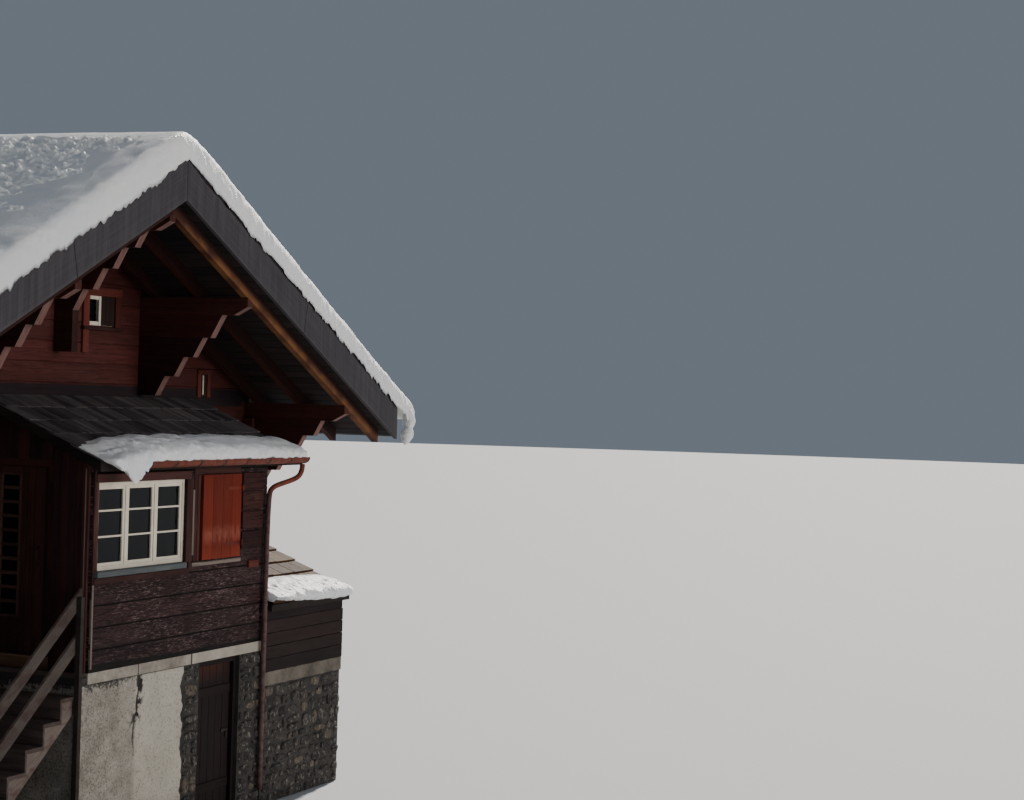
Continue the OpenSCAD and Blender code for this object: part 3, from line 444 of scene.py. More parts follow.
TIMBER_Y = wood("roof_timber", "Y", (0.022, 0.008, 0.006), (0.062, 0.017, 0.012), (0.13, 0.065, 0.048),
                0.3, extra=pale_ends(5.2, (0.21, 0.11, 0.098)))
CONSOLE = wood("console_logs", "Y", (0.02, 0.007, 0.006), (0.055, 0.014, 0.011), (0.12, 0.05, 0.04),
               0.3, extra=pale_ends(4.2, (0.22, 0.115, 0.103)))
RAFTER = wood("rafter_timber", "slope", (0.018, 0.005, 0.004), (0.055, 0.012, 0.008), (0.1, 0.038, 0.026),
              0.3, extra=painted_rafter_light)
SOFFIT = wood("soffit_timber", "boards", (0.008, 0.006, 0.007), (0.028, 0.017, 0.016),
              (0.08, 0.06, 0.055), 0.5)
BARGE = wood("grey_barge", "slope", (0.042, 0.039, 0.044), (0.066, 0.061, 0.066), (0.1, 0.095, 0.1),
             0.25, relief=0.0015, cracks=0.05, extra=barge_marks)
STAIR = wood("stair_timber", "slope", (0.08, 0.062, 0.053), (0.18, 0.145, 0.125), (0.33, 0.28, 0.25),
             0.6, extra=rail_marks)
TREAD = wood("tread_timber", "Y", (0.05, 0.036, 0.031), (0.11, 0.08, 0.07), (0.24, 0.19, 0.17), 0.6)
FLOORING = wood("floor_timber", "Y", (0.1, 0.055, 0.03), (0.22, 0.13, 0.075), (0.3, 0.2, 0.13), 0.3)
DOOR_WOOD = wood("door_timber", "Z", (0.014, 0.006, 0.005), (0.05, 0.016, 0.012), (0.11, 0.05, 0.035),
                 0.4, extra=door_marks)
DOOR_BOARDS = wood("door_boards", "boards", (0.014, 0.007, 0.006), (0.055, 0.02, 0.015),
                   (0.12, 0.065, 0.05), 0.45, extra=door_head_marks)
SHINGLE_TAN = wood("tan_shingles", "boards", (0.025, 0.012, 0.006), (0.105, 0.056, 0.026),
                   (0.23, 0.15, 0.09), 0.5, shine=0.1)
SHINGLE_GREY = wood("grey_shingles", "boards", (0.022, 0.02, 0.023), (0.095, 0.083, 0.088),
                    (0.26, 0.235, 0.23), 0.7)
# Near black, so that the edges of the low roofs under the snow read as painted shadow lines.
SHINGLE_BED_PAINTED_SHADE = wood("shingle_bed_painted_shade", "Y", (0.008, 0.006, 0.005), (0.022, 0.016, 0.013),
                   (0.07, 0.056, 0.047), 0.4)
SHUTTER_SOLID = wood("shutter_solid", "Z", (0.085, 0.009, 0.004), (0.16, 0.019, 0.008),
                     (0.25, 0.06, 0.03), 0.35, rough=0.6, relief=0.0012, cracks=0.35)
PORCH_ENDS = wood("porch_log_ends", "boards", (0.016, 0.004, 0.004), (0.05, 0.014, 0.011),
                  (0.15, 0.085, 0.07), 0.5, relief=0.004, cracks=0.9)
DOOR_BARS = wood("door_bars", "boards", (0.03, 0.015, 0.012), (0.09, 0.045, 0.035), (0.2, 0.14, 0.115), 0.5)
PANEL_BROWN = wood("brown_panel", "boards", (0.012, 0.006, 0.006), (0.032, 0.014, 0.013),
                   (0.08, 0.045, 0.04), 0.3)


# Other finishes


def snow_finish(name, glow):
    """Settled snow: white with bluer hollows, which are painted shade, and a crust of small grains. Light
    passes through thin crests by the share glow."""
    material, place = new_material(name)
    grains = noise(place, 60.0, 4.0, 0.75)
    crust = noise(stretched(place, (1.0, 0.45, 1.0)), 9.0, 5.0, 0.65, 0.5)
    soft = noise(place, 1.3, 3.0)
    base = blend(span(soft, 0.35, 0.65), (0.80, 0.82, 0.85), (0.87, 0.87, 0.86))
    # painted shade: the low places of the crust are tinted blue
    base = blend(span(crust, 0.3, 0.5, 0.3, 0.0), base, (0.68, 0.73, 0.80))
    height = grains * 0.7 + crust
    return finish(material, base, 0.55, height, 0.014, Subsurface_Weight=glow, Specular_IOR_Level=0.35,
                  Subsurface_Radius=(0.03, 0.035, 0.05))


def plaster_finish():
    """Old limewash: warm grey with a fine speckle, mould under the band on its left half, grime at its
    foot, and black in its crack, which the crack attribute shows. It is paler from about x = -0.3
    rightwards and more darkly speckled towards the left, which is painted shade on the left part of the
    wall."""
    material, place = new_material("old_limewash")
    x, y, z = parts_of(place)
    fine = noise(place, 48.0, 5.0, 0.8)
    broad = noise(place, 3.6, 6.0, 0.62)
    spots = noise(place, 26.0, 5.0, 0.8, 0.6)
    base = blend(span(broad, 0.34, 0.66), (0.21, 0.188, 0.158), (0.38, 0.35, 0.3))
    # painted shade: paler right of about x = -0.3, and more dark speckle towards the left, so the left part
    # reads as shaded
    base = blend(span(x, -0.36, -0.28, 0.0, 0.5), base, (0.55, 0.51, 0.43))
    speckle = fine + span(x, -1.0, -0.2, -0.04, 0.01)
    base = blend(span(speckle, 0.36, 0.48, 0.8, 0.0), base, (0.065, 0.054, 0.045))
    near_top = span(z + span(x, -0.5, 0.1, 0.0, -0.12), 1.6, 1.76, 0.32, 0.55)
    mould = near_top - (spots * 0.7 + broad * 0.3)
    base = blend(span(mould, 0.0, 0.03, 0.0, 0.9), base, (0.014, 0.012, 0.011))
    base = blend(attribute(place, "crack") * 0.97, base, (0.01, 0.008, 0.008))
    base = blend(span(z, 0.0, 0.45, 0.55, 0.0), base, (0.085, 0.075, 0.06))
    return finish(material, base, 0.9, fine * 0.5 + broad, 0.01)


def stone_finish(name, dark, middle, pale):
    """Quarry stone: the stone's own tone from its attribute, veined and pitted, flecked with lime, and a
    few stones paler."""
    material, place = new_material(name)
    tone = attribute(place, "tone")
    pits = noise(place, 25.0, 6.0, 0.8)
    veins = noise(stretched(place, (7.0, 7.0, 17.0)), 1.0, 6.0, 0.72, 0.9)
    base = blend(span(tone, 0.05, 0.8), dark, middle)
    base = blend(span(tone, 0.88, 0.9, 0.0, 0.7), base, pale)
    base = blend(span(veins, 0.48, 0.72, 0.0, 0.7), base, shaded(middle, 1.7))
    base = blend(span(pits, 0.42, 0.5, 0.92, 0.0), base, shaded(dark, 0.3))
    lime = noise(stretched(place, (1.0, 1.0, 0.6), (7.0, 3.0, 1.0)), 21.0, 5.0, 0.78, 0.5)
    base = blend(span(lime, 0.55, 0.61, 0.0, 0.8), base, (0.25, 0.225, 0.19))
    return finish(material, base, 0.88, pits + veins, 0.022)


def mortar_finish(name, dark, pale, extra=None):
    """Rough mortar or cast stone: mottled, gritty, with damp patches."""
    material, place = new_material(name)
    grit = noise(place, 60.0, 5.0, 0.7)
    damp = noise(place, 4.0, 5.0, 0.65)
    base = blend(span(damp, 0.32, 0.66), dark, pale)
    base = blend(span(grit, 0.3, 0.5, 0.5, 0.0), base, shaded(dark, 0.5))
    if extra is not None:
        base = extra(base, place)
    return finish(material, base, 0.9, grit * 0.4 + damp, 0.008)


def band_marks(base, place):
    """The band over the cellar: dark joints where its lengths meet, the right-hand length cleaner."""
    x = parts_of(place)[0]
    base = blend(span(x, BAND_JOINTS[1], BAND_JOINTS[1] + 0.02, 0.0, 0.4), base, (0.46, 0.42, 0.355))
    for middle, half in zip(BAND_JOINTS, (0.009, 0.016)):
        base = blend(span(abs(x - middle), half * 0.7, half, 0.93, 0.0), base, (0.012, 0.01, 0.009))
    return base


def paint_finish(name, base_colour, grime):
    """Joinery paint: brush marks, slight yellowing, and grime in patches."""
    material, place = new_material(name)
    brush = noise(stretched(place, (60.0, 60.0, 7.0)), 1.0, 3.0)
    wear = noise(place, 6.0, 5.0, 0.7)
    base = blend(span(wear, 0.4, 0.75, 0.0, 0.4), base_colour, grime)
    base = blend(span(brush, 0.3, 0.7, 0.12, 0.0), base, grime)
    return finish(material, base, 0.45, brush, 0.0006)


def glass_finish():
    """Old window glass: clear, slightly grey, its face a little wavy."""
    material, place = new_material("old_window_glass")
    waves = noise(place, 5.0, 2.0)
    dust = noise(place, 25.0, 4.0)
    base = blend(span(dust, 0.4, 0.8), (0.02, 0.026, 0.035), (0.045, 0.052, 0.06))
    return finish(material, base, 0.03, waves, 0.004, Transmission_Weight=0.8, IOR=1.2,
                  Specular_IOR_Level=0.15)


def sheet_metal_finish():
    """Copper-red gutter sheet: rubbed paint with darker runs. The upright of the downpipe is duller."""
    material, place = new_material("gutter_sheet")
    z = parts_of(place)[2]
    runs = noise(stretched(place, (22.0, 22.0, 2.0)), 1.0, 4.0, 0.65)
    spots = noise(place, 14.0, 5.0, 0.7)
    base = blend(span(runs, 0.3, 0.7), (0.075, 0.018, 0.012), (0.19, 0.045, 0.026))
    base = blend(span(spots, 0.6, 0.72, 0.0, 0.4), base, (0.26, 0.11, 0.07))
    dull = blend(span(spots, 0.35, 0.6), (0.045, 0.02, 0.021), (0.11, 0.072, 0.072))
    base = blend(span(z, 3.5, 3.62, 0.9, 0.0), base, dull)
    return finish(material, base, span(spots, 0.3, 0.7, 0.5, 0.75), runs, 0.001, Metallic=0.1,
                  Specular_IOR_Level=0.2)


def iron_finish():
    """Forged iron: near black, with rust in patches."""
    material, place = new_material("forged_iron")
    rust = noise(place, 30.0, 5.0, 0.7)
    base = blend(span(rust, 0.5, 0.7), (0.018, 0.016, 0.015), (0.1, 0.038, 0.018))
    return finish(material, base, span(rust, 0.4, 0.7, 0.4, 0.85), rust, 0.0015, Metallic=0.6)


SNOW = snow_finish("settled_snow", 0.1)
CRUST = snow_finish("wind_crust", 0.25)
PLASTER = plaster_finish()
RUBBLE = stone_finish("rubble_stone", (0.011, 0.0095, 0.009), (0.05, 0.043, 0.038), (0.15, 0.115, 0.08))
MORTAR = mortar_finish("lime_mortar", (0.012, 0.011, 0.01), (0.045, 0.04, 0.036))
BAND = mortar_finish("pale_band", (0.17, 0.15, 0.125), (0.37, 0.335, 0.285), band_marks)
LEAN_BAND = mortar_finish("brown_band", (0.06, 0.051, 0.04), (0.17, 0.147, 0.118))
SLABS = mortar_finish("stone_slabs", (0.1, 0.095, 0.09), (0.24, 0.225, 0.21))
CREAM = paint_finish("cream_paint", (0.74, 0.68, 0.56), (0.4, 0.34, 0.26))
GLASS = glass_finish()
SHEET_RED = sheet_metal_finish()
IRON = iron_finish()


# Mesh helpers


def lattice_noise(u, v, size, seed):
    """Smooth random height from -1 to 1 at places (u, v).

    Random values stand on the corners of squares of the given size. Between them the height is the
    mix of the four corners, each weighted by 3t^2 - 2t^3 of its share of the square.
    """
    rng = np.random.default_rng(seed)
    table = rng.uniform(-1.0, 1.0, (256, 256))
    gu, gv = np.asarray(u) / size + 1000.0, np.asarray(v) / size + 1000.0
    iu, iv = np.floor(gu).astype(int), np.floor(gv).astype(int)
    tu, tv = gu - iu, gv - iv
    tu, tv = tu * tu * (3 - 2 * tu), tv * tv * (3 - 2 * tv)
    a, b = table[iu % 256, iv % 256], table[(iu + 1) % 256, iv % 256]
    c, d = table[iu % 256, (iv + 1) % 256], table[(iu + 1) % 256, (iv + 1) % 256]
    return (a * (1 - tu) + b * tu) * (1 - tv) + (c * (1 - tu) + d * tu) * tv


def rough(u, v, size, seed, octaves=3):
    """Sum of lattice noises, each half the size and half the height of the one before."""
    return sum(0.5**k * lattice_noise(u, v, size * 0.5**k, seed + k) for k in range(octaves))


def ring_faces(rings, around, closed=True):
    """Quads between the points of neighbouring rings, as rows of four indices."""
    i = np.arange(rings - 1)[:, None] * around
    j = np.arange(around if closed else around - 1)[None, :]
    k = (j + 1) % around
    return np.stack([i + j, i + k, i + around + k, i + around + j], axis=-1).reshape(-1, 4)


def signed_volume(points, faces):
    """Six times the volume that the faces enclose, from the fan of triangles of each face."""
    total = 0.0
    for k in range(1, faces.shape[1] - 1):
        a, b, c = points[faces[:, 0]], points[faces[:, k]], points[faces[:, k + 1]]
        total += float(np.sum(a * np.cross(b, c)))
    return total


def piece(name, points, faces, material, body="house", slot=None, replaces=(), smooth=False, marks=None):
    """A mesh from its points and its arrays of faces, on a body. slot is not used.

    faces is a list of index arrays, each with its own number of corners. marks holds arrays of one
    number or three numbers a point, kept as attributes.
    """
    if sum(signed_volume(points, f) for f in faces) < 0:
        faces = [f[:, ::-1] for f in faces]
    mesh = bpy.data.meshes.new(name)
    mesh.from_pydata(points.tolist(), [], [row for f in faces for row in f.tolist()])
    for key, values in (marks or {}).items():
        values = np.asarray(values, np.float32)
        kind = "FLOAT" if values.ndim == 1 else "FLOAT_VECTOR"
        attribute = mesh.attributes.new(key, kind, "POINT")
        attribute.data.foreach_set("value" if kind == "FLOAT" else "vector", values.ravel())
    mesh.polygons.foreach_set("use_smooth", np.full(len(mesh.polygons), smooth))
    mesh.materials.append(material)
    mesh.update()
    made = bpy.data.objects.new(name, mesh)
    bpy.context.scene.collection.objects.link(made)
    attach(made, body)
    if replaces:
        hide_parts(*replaces)
    return made


def unit(vectors):
    """Each vector at length one."""
    return vectors / np.linalg.norm(vectors, axis=-1, keepdims=True)


def board_arrays(starts, ends, outward, width, thick, bevel=0.004, stations=2, wander=0.0, seed=1):
    """Boards, all at once: a rectangle with cut corners is carried from each start to each end.

    A point is the centre line, plus a share of the width across, plus a share of the thickness
    along outward. wander moves the edges by smooth random amounts along the way. Returns points,
    faces and marks for piece().
    """
    starts, ends = np.atleast_2d(np.asarray(starts, float)), np.atleast_2d(np.asarray(ends, float))
    count = len(starts)
    outward = unit(np.broadcast_to(np.asarray(outward, float), starts.shape))
    width = np.broadcast_to(np.asarray(width, float), (count,))
    thick = np.broadcast_to(np.asarray(thick, float), (count,))
    along = unit(ends - starts)
    across = np.cross(outward, along)
    half_w, half_t = width[:, None] / 2, thick[:, None] / 2
    sign_a = np.array([-1, 1, 1, 1, 1, -1, -1, -1.0])
    sign_b = np.array([-1, -1, -1, 1, 1, 1, 1, -1.0])
    cut_a = np.array([1, 1, 0, 0, 1, 1, 0, 0.0])
    cut_b = np.array([0, 0, 1, 1, 0, 0, 1, 1.0])
    a = sign_a * (half_w - bevel * cut_a)
    b = sign_b * (half_t - bevel * cut_b)
    t = np.linspace(0.0, 1.0, stations)
    rng = np.random.default_rng(seed)
    shift = rng.uniform(-wander, wander, (count, stations, 2))
    centre = starts[:, None, :] + (ends - starts)[:, None, :] * t[None, :, None]
    a = a[:, None, :] + shift[:, :, :1]
    b = b[:, None, :] + 0.5 * shift[:, :, 1:]
    points = (centre[:, :, None, :] + a[..., None] * across[:, None, None, :]
              + b[..., None] * outward[:, None, None, :])
    first = np.arange(count)[:, None, None] * stations * 8
    quads = (ring_faces(stations, 8)[None] + first).reshape(-1, 4)
    cap = np.arange(8)
    caps = np.concatenate([cap[::-1] + first[:, 0], cap + (stations - 1) * 8 + first[:, 0]])
    length = np.linalg.norm(ends - starts, axis=1)
    girth = np.array([0, 0.9, 1.0, 1.3, 1.4, 2.3, 2.4, 2.9])
    grain = np.empty(points.shape)
    grain[..., 0] = (length[:, None] * t[None, :])[..., None]
    grain[..., 1] = girth * width[:, None, None]
    grain[..., 2] = np.arange(count)[:, None, None] + seed * 0.37
    tone = np.broadcast_to(rng.uniform(0, 1, count)[:, None, None], points.shape[:3])
    marks = {"grain": grain.reshape(-1, 3), "tone": tone.reshape(-1)}
    return points.reshape(-1, 3), [quads, caps], marks


def face_points(origin, along, outward, u, v, h):
    """Points of a wall: u along it, v up it and h out of it."""
    u, v, h = np.broadcast_arrays(u, v, h)
    return (np.asarray(origin, float) + u[..., None] * np.asarray(along, float) + v[..., None] * Z_AXIS
            + h[..., None] * np.asarray(outward, float))


def swept(name, rings, material, **settings):
    """A piece from closed rings of points: quads between neighbouring rings, a face on each end.

    The rings are stations by points, or several such runs of equal size.
    """
    rings = rings if rings.ndim == 4 else rings[None]
    count, stations, around = rings.shape[:3]
    first = (np.arange(count) * stations * around)[:, None, None]
    cap = np.arange(around)[None, None, :]
    caps = np.concatenate([cap[..., ::-1] + first, cap + (stations - 1) * around + first])
    sides = (ring_faces(stations, around)[None] + first).reshape(-1, 4)
    return piece(name, rings.reshape(-1, 3), [sides, caps.reshape(-1, around)], material, **settings)


def tube(path, radius, around, side):
    """Rings round a path that is square to side: the path's point, plus the radius times the cosine
    along the path's normal and times the sine along side."""
    path = np.asarray(path, float)
    side = np.asarray(side, float)
    normal = unit(np.cross(unit(np.gradient(path, axis=0)), side))
    angle = np.linspace(0, 2 * math.pi, around, endpoint=False)[None, :, None]
    radius = np.broadcast_to(np.asarray(radius, float), (len(path),))[:, None, None]
    return path[:, None] + radius * (np.cos(angle) * normal[:, None] + np.sin(angle) * side)


def spline_weights(t):
    """The weights of four neighbouring corners in a cubic B-spline, times six: (1-t)^3, 3t^3-6t^2+4,
    -3t^3+3t^2+3t+1 and t^3."""
    return (1 - t) ** 3, 3 * t**3 - 6 * t**2 + 4, -3 * t**3 + 3 * t**2 + 3 * t + 1, t**3


def round_curve(corners, around):
    """A closed cubic B-spline round each row of corners: a point is the mean of four neighbouring
    corners by their spline weights."""
    count = corners.shape[1]
    u = np.linspace(0, count, around, endpoint=False)
    i = np.floor(u).astype(int)
    t = (u - i)[None, :, None]
    return sum(w * corners[:, (i + k - 1) % count] for k, w in enumerate(spline_weights(t))) / 6


def row(start, end, outward, width, thick):
    """A board as one row of eleven numbers."""
    return [*start, *end, *outward, width, thick]


def turned(rows, degrees):
    """Board rows turned about the middle of the house: each vector times the matrix of that turn."""
    c, s = math.cos(math.radians(degrees)), math.sin(math.radians(degrees))
    spin = np.array([[c, s, 0.0], [-s, c, 0.0], [0.0, 0.0, 1.0]])
    made = np.array(rows, float)
    for k in (0, 3, 6):
        made[:, k:k + 3] = made[:, k:k + 3] @ spin
    return made


def boards(name, rows, material, body="house", slot=None, replaces=(), **shape):
    """A piece made of straight boards, one to a row."""
    rows = np.asarray(rows, float)
    points, faces, marks = board_arrays(rows[:, :3], rows[:, 3:6], rows[:, 6:9], rows[:, 9], rows[:, 10],
                                        **shape)
    return piece(name, points, faces, material, body, slot, replaces, marks=marks)


def side_upright(x, y, z0, z1, width, thick):
    """An upright board on a side wall, x in the middle of its thickness and y of its width."""
    return row((x, y, z0), (x, y, z1), LEFT, width, thick)


def side_level(x, y0, y1, z, width, thick, outward):
    """A level board on a side wall, x in the middle of its thickness and z of its width."""
    return row((x, y0, z), (x, y1, z), outward, width, thick)


def upright(x0, x1, z0, z1, proud, face=PORCH_FACE):
    """A vertical board on a wall that faces the front, let 4 mm into it."""
    y = face + 0.002 - proud / 2
    return row(((x0 + x1) / 2, y, z0), ((x0 + x1) / 2, y, z1), FRONT, x1 - x0, proud + 0.004)


def level(x0, x1, z0, z1, proud, face=PORCH_FACE):
    """A level board on a wall that faces the front, let 4 mm into it."""
    y = face + 0.002 - proud / 2
    return row((x0, y, (z0 + z1) / 2), (x1, y, (z0 + z1) / 2), FRONT, z1 - z0, proud + 0.004)


# Snow


def snow_depth(x, y):
    """Depth of the snow over the roof: 0.285 + 0.106 exp(-(x / 2.25)^2), less the slope times
    sqrt(x^2 + 0.18^2) - |x|, less 0.026 times the square of the way to the verge past y = 3, and
    with smooth noise."""
    out = np.abs(x)
    drift = 0.016 * rough(y, x, 1.5, 3) + 0.006 * rough(y, x, 0.2, 9, 2)
    drift = drift * np.clip(0.3 + out, 0.3, 1.0) - 0.008
    crest = np.sqrt(x**2 + 0.18**2) - out
    dip = 0.026 * np.clip((np.abs(y) - 3.0) / 2.4, 0.0, 1.0) ** 2
    return 0.285 + 0.106 * np.exp(-((x / 2.25) ** 2)) - SLOPE * crest + drift - dip


def roof_snow():
    """The snow blanket of the main roof, as closed rings across it, carried from lip to lip.

    The base follows the roof, z = ridge - slope |x|, and runs on past the eaves. Over it lies the
    depth of snow_depth. A quarter of a superellipse raises the face of each verge to that height,
    on which smooth noise lies. Past the lip's centre the ring shrinks towards its own middle by the
    fourth root of one minus the fifth power of the way to the tip. The foot of each verge is ragged,
    and hangs a little over the barge board.
    """
    stations, rounding, inside, across_foot = 600, 16, 46, 10
    lip = 0.1
    s = np.linspace(-1.0, 1.0, stations)
    reach = np.where(s > 0, EAVE_X + 0.435, EAVE_X + 0.35)
    x = reach * np.sin(s * math.pi / 2 * 0.9) / math.sin(math.pi / 2 * 0.9)
    angle = np.linspace(0.0, math.pi / 2, rounding)
    share = np.sin(angle) ** 0.7
    inwards = 0.12 * (1 - np.cos(angle) ** 0.7)
    edge_y = VERGE_Y + 0.02
    half = np.concatenate([edge_y - inwards, (edge_y - 0.16) * np.linspace(1.0, 0.0, inside) ** 0.85])
    y = np.concatenate([-half[:-1], half[::-1]])
    share = np.concatenate([share, np.ones(inside)])
    share = np.concatenate([share[:-1], share[::-1]])
    grid_x, grid_y = np.meshgrid(x, y, indexing="ij")
    out = np.abs(grid_x)

    full = snow_depth(grid_x, grid_y)
    base = APEX + 0.001 - SLOPE * out
    teeth = 0.026 * rough(grid_x, np.sign(grid_y), 0.13, 31)
    teeth = teeth + 0.016 * rough(grid_x, grid_y * 0, 0.035, 37, 2)
    hang = np.where(grid_x < 0, 0.044, 0.03) * np.clip(out / 0.6, 0.2, 1.0)
    foot = np.where(share < 1.0, base - hang - 0.006 * out + np.minimum(1.3 * teeth, 0.03), base)
    top = foot + (full + base - foot) * share
    swell = 0.012 * rough(grid_x, top, 0.35, 41) + 0.007 * rough(grid_x, top, 0.055, 43, 2)
    grid_y = grid_y + np.sign(grid_y) * np.where(share < 0.98, np.clip(swell, -0.03, 0.009), 0.0)
    top = np.minimum(top, APEX + 0.298)

    under_y = np.linspace(VERGE_Y - 0.03, -VERGE_Y + 0.03, across_foot - 2)
    under_y = np.concatenate([[VERGE_Y + 0.004], under_y, [-VERGE_Y - 0.004]])
    under_x, under_y = np.meshgrid(x, under_y, indexing="ij")
    under = APEX + 0.001 - SLOPE * np.abs(under_x)
    under = under - np.where(np.abs(under_y) > VERGE_Y, 0.012, 0.0)

    past = np.clip((np.abs(x) - (reach - lip)) / lip, 0.0, 1.0)
    shrink = np.maximum((1 - past**5) ** 0.25, 0.05)[:, None]
    middle = (APEX + 0.14 - SLOPE * np.abs(x))[:, None]
    top = middle + (top - middle) * shrink
    under = middle + (under - middle) * shrink
    rings = np.concatenate([np.stack([grid_x, grid_y, top], -1), np.stack([under_x, under_y, under], -1)],
                           axis=1)
    swept("roof_snow", rings, SNOW, slot="snow", replaces=("roof_snow_left", "roof_snow_right"),
          smooth=True)


def wind_crust():
    """Crests that the wind has cut high on the left slope, in rows along the house.

    Down the slope the crust rises slowly and falls steeply back: its height over the snow is a
    random share of 0.05 times the fraction of (way down / 0.1 + smooth noise). It begins at a
    ragged distance from each verge, and lies under the snow elsewhere.
    """
    x, y = np.meshgrid(np.linspace(-0.26, -2.9, 200), np.linspace(-5.42, 5.42, 400), indexing="ij")
    verge = VERGE_Y - np.abs(y)
    start = 0.1 - 0.13 * x + 0.5 * np.abs(rough(x, 0.12 * y, 0.28, 77)) + 0.1 * lattice_noise(x, y, 0.1, 76)
    there = np.clip((verge - start) / 0.08, 0.0, 1.0) * np.clip((2.9 + x) / 0.3, 0.0, 1.0)
    there = there * np.clip((-0.26 - x) / 0.06, 0.0, 1.0)
    share = np.clip(0.45 + 1.0 * rough(x, 0.7 * y, 0.06, 78, 2), 0.08, 1.0)
    turn = -x / 0.1 + 0.9 * rough(0.5 * x, y, 0.17, 79, 2) + 0.2 * lattice_noise(x, y, 0.05, 80)
    rise = there * 0.05 * share * (turn - np.floor(turn)) - 0.014 * (1 - there) - 0.003
    surface = APEX + SLOPE * x + snow_depth(x, y)
    top = np.stack([x, y, surface + rise], -1)
    under = np.stack([x[:, :2], y[:, [-1, 0]], surface[:, [-1, 0]] - 0.1], -1)
    swept("wind_crust", np.concatenate([top, under], axis=1), CRUST, slot="snow")


def hanging_snow():
    """Two slipped clumps under the front end of the right lip: a bent tube with a swelling radius,
    every ring pushed in and out by rough noise."""
    way = np.linspace(0.0, 1.0, 60)
    x = np.interp(way, [0, 0.3, 0.5, 0.8, 1.0], [5.25, 5.3, 5.285, 5.235, 5.2])
    z = 4.53 - 0.44 * way
    radius = np.interp(way, [0, 0.1, 0.3, 0.42, 0.52, 0.6, 0.75, 0.9, 1.0],
                       [0.05, 0.065, 0.088, 0.08, 0.055, 0.075, 0.078, 0.05, 0.004])
    rings = tube(np.stack([x, np.full(60, -VERGE_Y + 0.01), z], -1), radius, 40, Y_AXIS)
    centre = rings.mean(axis=1, keepdims=True)
    swell = 1 + 0.1 * rough(rings[..., 0] + rings[..., 1], rings[..., 2], 0.07, 61)[..., None]
    rings = centre + (rings - centre) * swell
    rings[..., 1] = np.maximum(rings[..., 1], -VERGE_Y - 0.075)
    rings[..., 0] = np.minimum(rings[..., 0], 5.392)
    swept("hanging_snow", rings, SNOW, slot="snow", smooth=True)


def low_roof_snow(name, x, eave, outline, reach, thick, ends, node_name, seed, tongue=None):
    """Snow along a low eave: a closed B-spline across it, carried along the stations x.

    A corner of the outline is its way up the roof from the eave and its height over the roof. The
    way, where it is positive, is multiplied by reach, and the height by thick. Corners move in and
    out by rough noise, tongue may move them again, and each ring shrinks towards a point low on the
    eave by a quarter of a superellipse at both ends, whose lengths are ends.
    """
    way, height = np.array(outline, float).T
    loose = (height > 0.04).astype(float)
    way = np.where(way > 0, way * reach[:, None], way[None, :])
    height = np.where(height > 0, height * thick[:, None], height[None, :])
    number = np.arange(len(loose))[None, :] * 0.8
    way = way + 0.016 * loose * rough(x[:, None], number, 0.34, seed)
    height = height + 0.016 * loose * rough(x[:, None], number, 0.27, seed + 9)
    if tongue is not None:
        way, height = tongue(x, way, height)
    corners = np.stack([eave[0] + way, eave[1] + PORCH_SLOPE * np.maximum(way, 0.0) + height], -1)
    curve = round_curve(corners, 72)
    fine = 0.013 * rough(x[:, None], curve[..., 0] + curve[..., 1], 0.085, seed + 20)
    fine = fine + 0.006 * rough(x[:, None], curve[..., 0] - curve[..., 1], 0.03, seed + 24, 2)
    curve = curve + unit(curve - curve.mean(axis=1, keepdims=True)) * fine[..., None]
    curve[..., 0] = np.maximum(curve[..., 0], -5.66)
    t = np.clip(np.minimum((x - x[0]) / ends[0], (x[-1] - x) / ends[1]), 0.01, 1.0)
    keep = (1 - (1 - t) ** 2.2) ** (1 / 2.2)
    anchor = np.array([eave[0] - 0.02, eave[1] + 0.035])
    curve = anchor + (curve - anchor) * keep[:, None, None]
    rings = np.concatenate([np.broadcast_to(x[:, None, None], curve.shape[:2] + (1,)), curve], axis=-1)
    swept(name, rings, SNOW, slot="snow", replaces=(node_name,), smooth=True)


def between(first, last, count):
    """Places from first to last, closer together near both ends."""
    return first + (last - first) * (1 - np.cos(np.linspace(0, math.pi, count))) / 2


def porch_snow():
    """Snow on the porch eave, which rests on the gutter. In front, its foot follows the outline of the
    tongue that hangs over the gutter, and it thins out towards the left verge."""
    x = between(-1.22, PORCH_RIGHT + 0.455, 420)
    outline = [(-0.09, -0.004), (-0.135, -0.002), (-0.15, 0.055), (-0.135, 0.125), (-0.07, 0.185),
               (0.06, 0.2), (0.22, 0.165), (0.38, 0.105), (0.52, -0.012), (0.44, -0.006),
               (0.26, -0.002), (0.02, -0.002)]
    reach = np.interp(x, [-1.22, -1.16, -1.05, -0.95, -0.6, 0.3], [0.8, 0.8, 0.78, 0.85, 0.95, 1.0])
    thick = np.interp(x, [-1.22, -1.0, -0.7, 0.1, 1.5, 2.3, 2.8], [0.2, 0.42, 0.85, 0.97, 0.88, 0.68, 0.62])

    def tongue(x, way, height):
        """The front corners drop by the depth of the tongue at x and come forward where it hangs."""
        drop = np.interp(x, [-1.22, -1.13, -1.0, -0.91, -0.86, -0.81, -0.71, -0.56, -0.52],
                         [0.0, 0.05, 0.1, 0.17, 0.215, 0.19, 0.12, 0.012, 0.0])
        drop = np.maximum(drop + 0.018 * rough(x, 0 * x, 0.05, 88) * (drop > 0.01), 0.0)
        way[:, :4] -= np.outer(np.clip(drop / 0.03, 0.0, 1.0), (0.047, 0.033, 0.028, 0.02))
        height[:, :3] -= np.outer(drop, (0.95, 1.12, 0.5))
        return way, height

    low_roof_snow("porch_eave_snow", x, (PORCH_EAVE_Y, PORCH_ROOF_Z + 0.002), outline, reach, thick,
                  (0.05, 0.1), "porch_snow", 71, tongue)


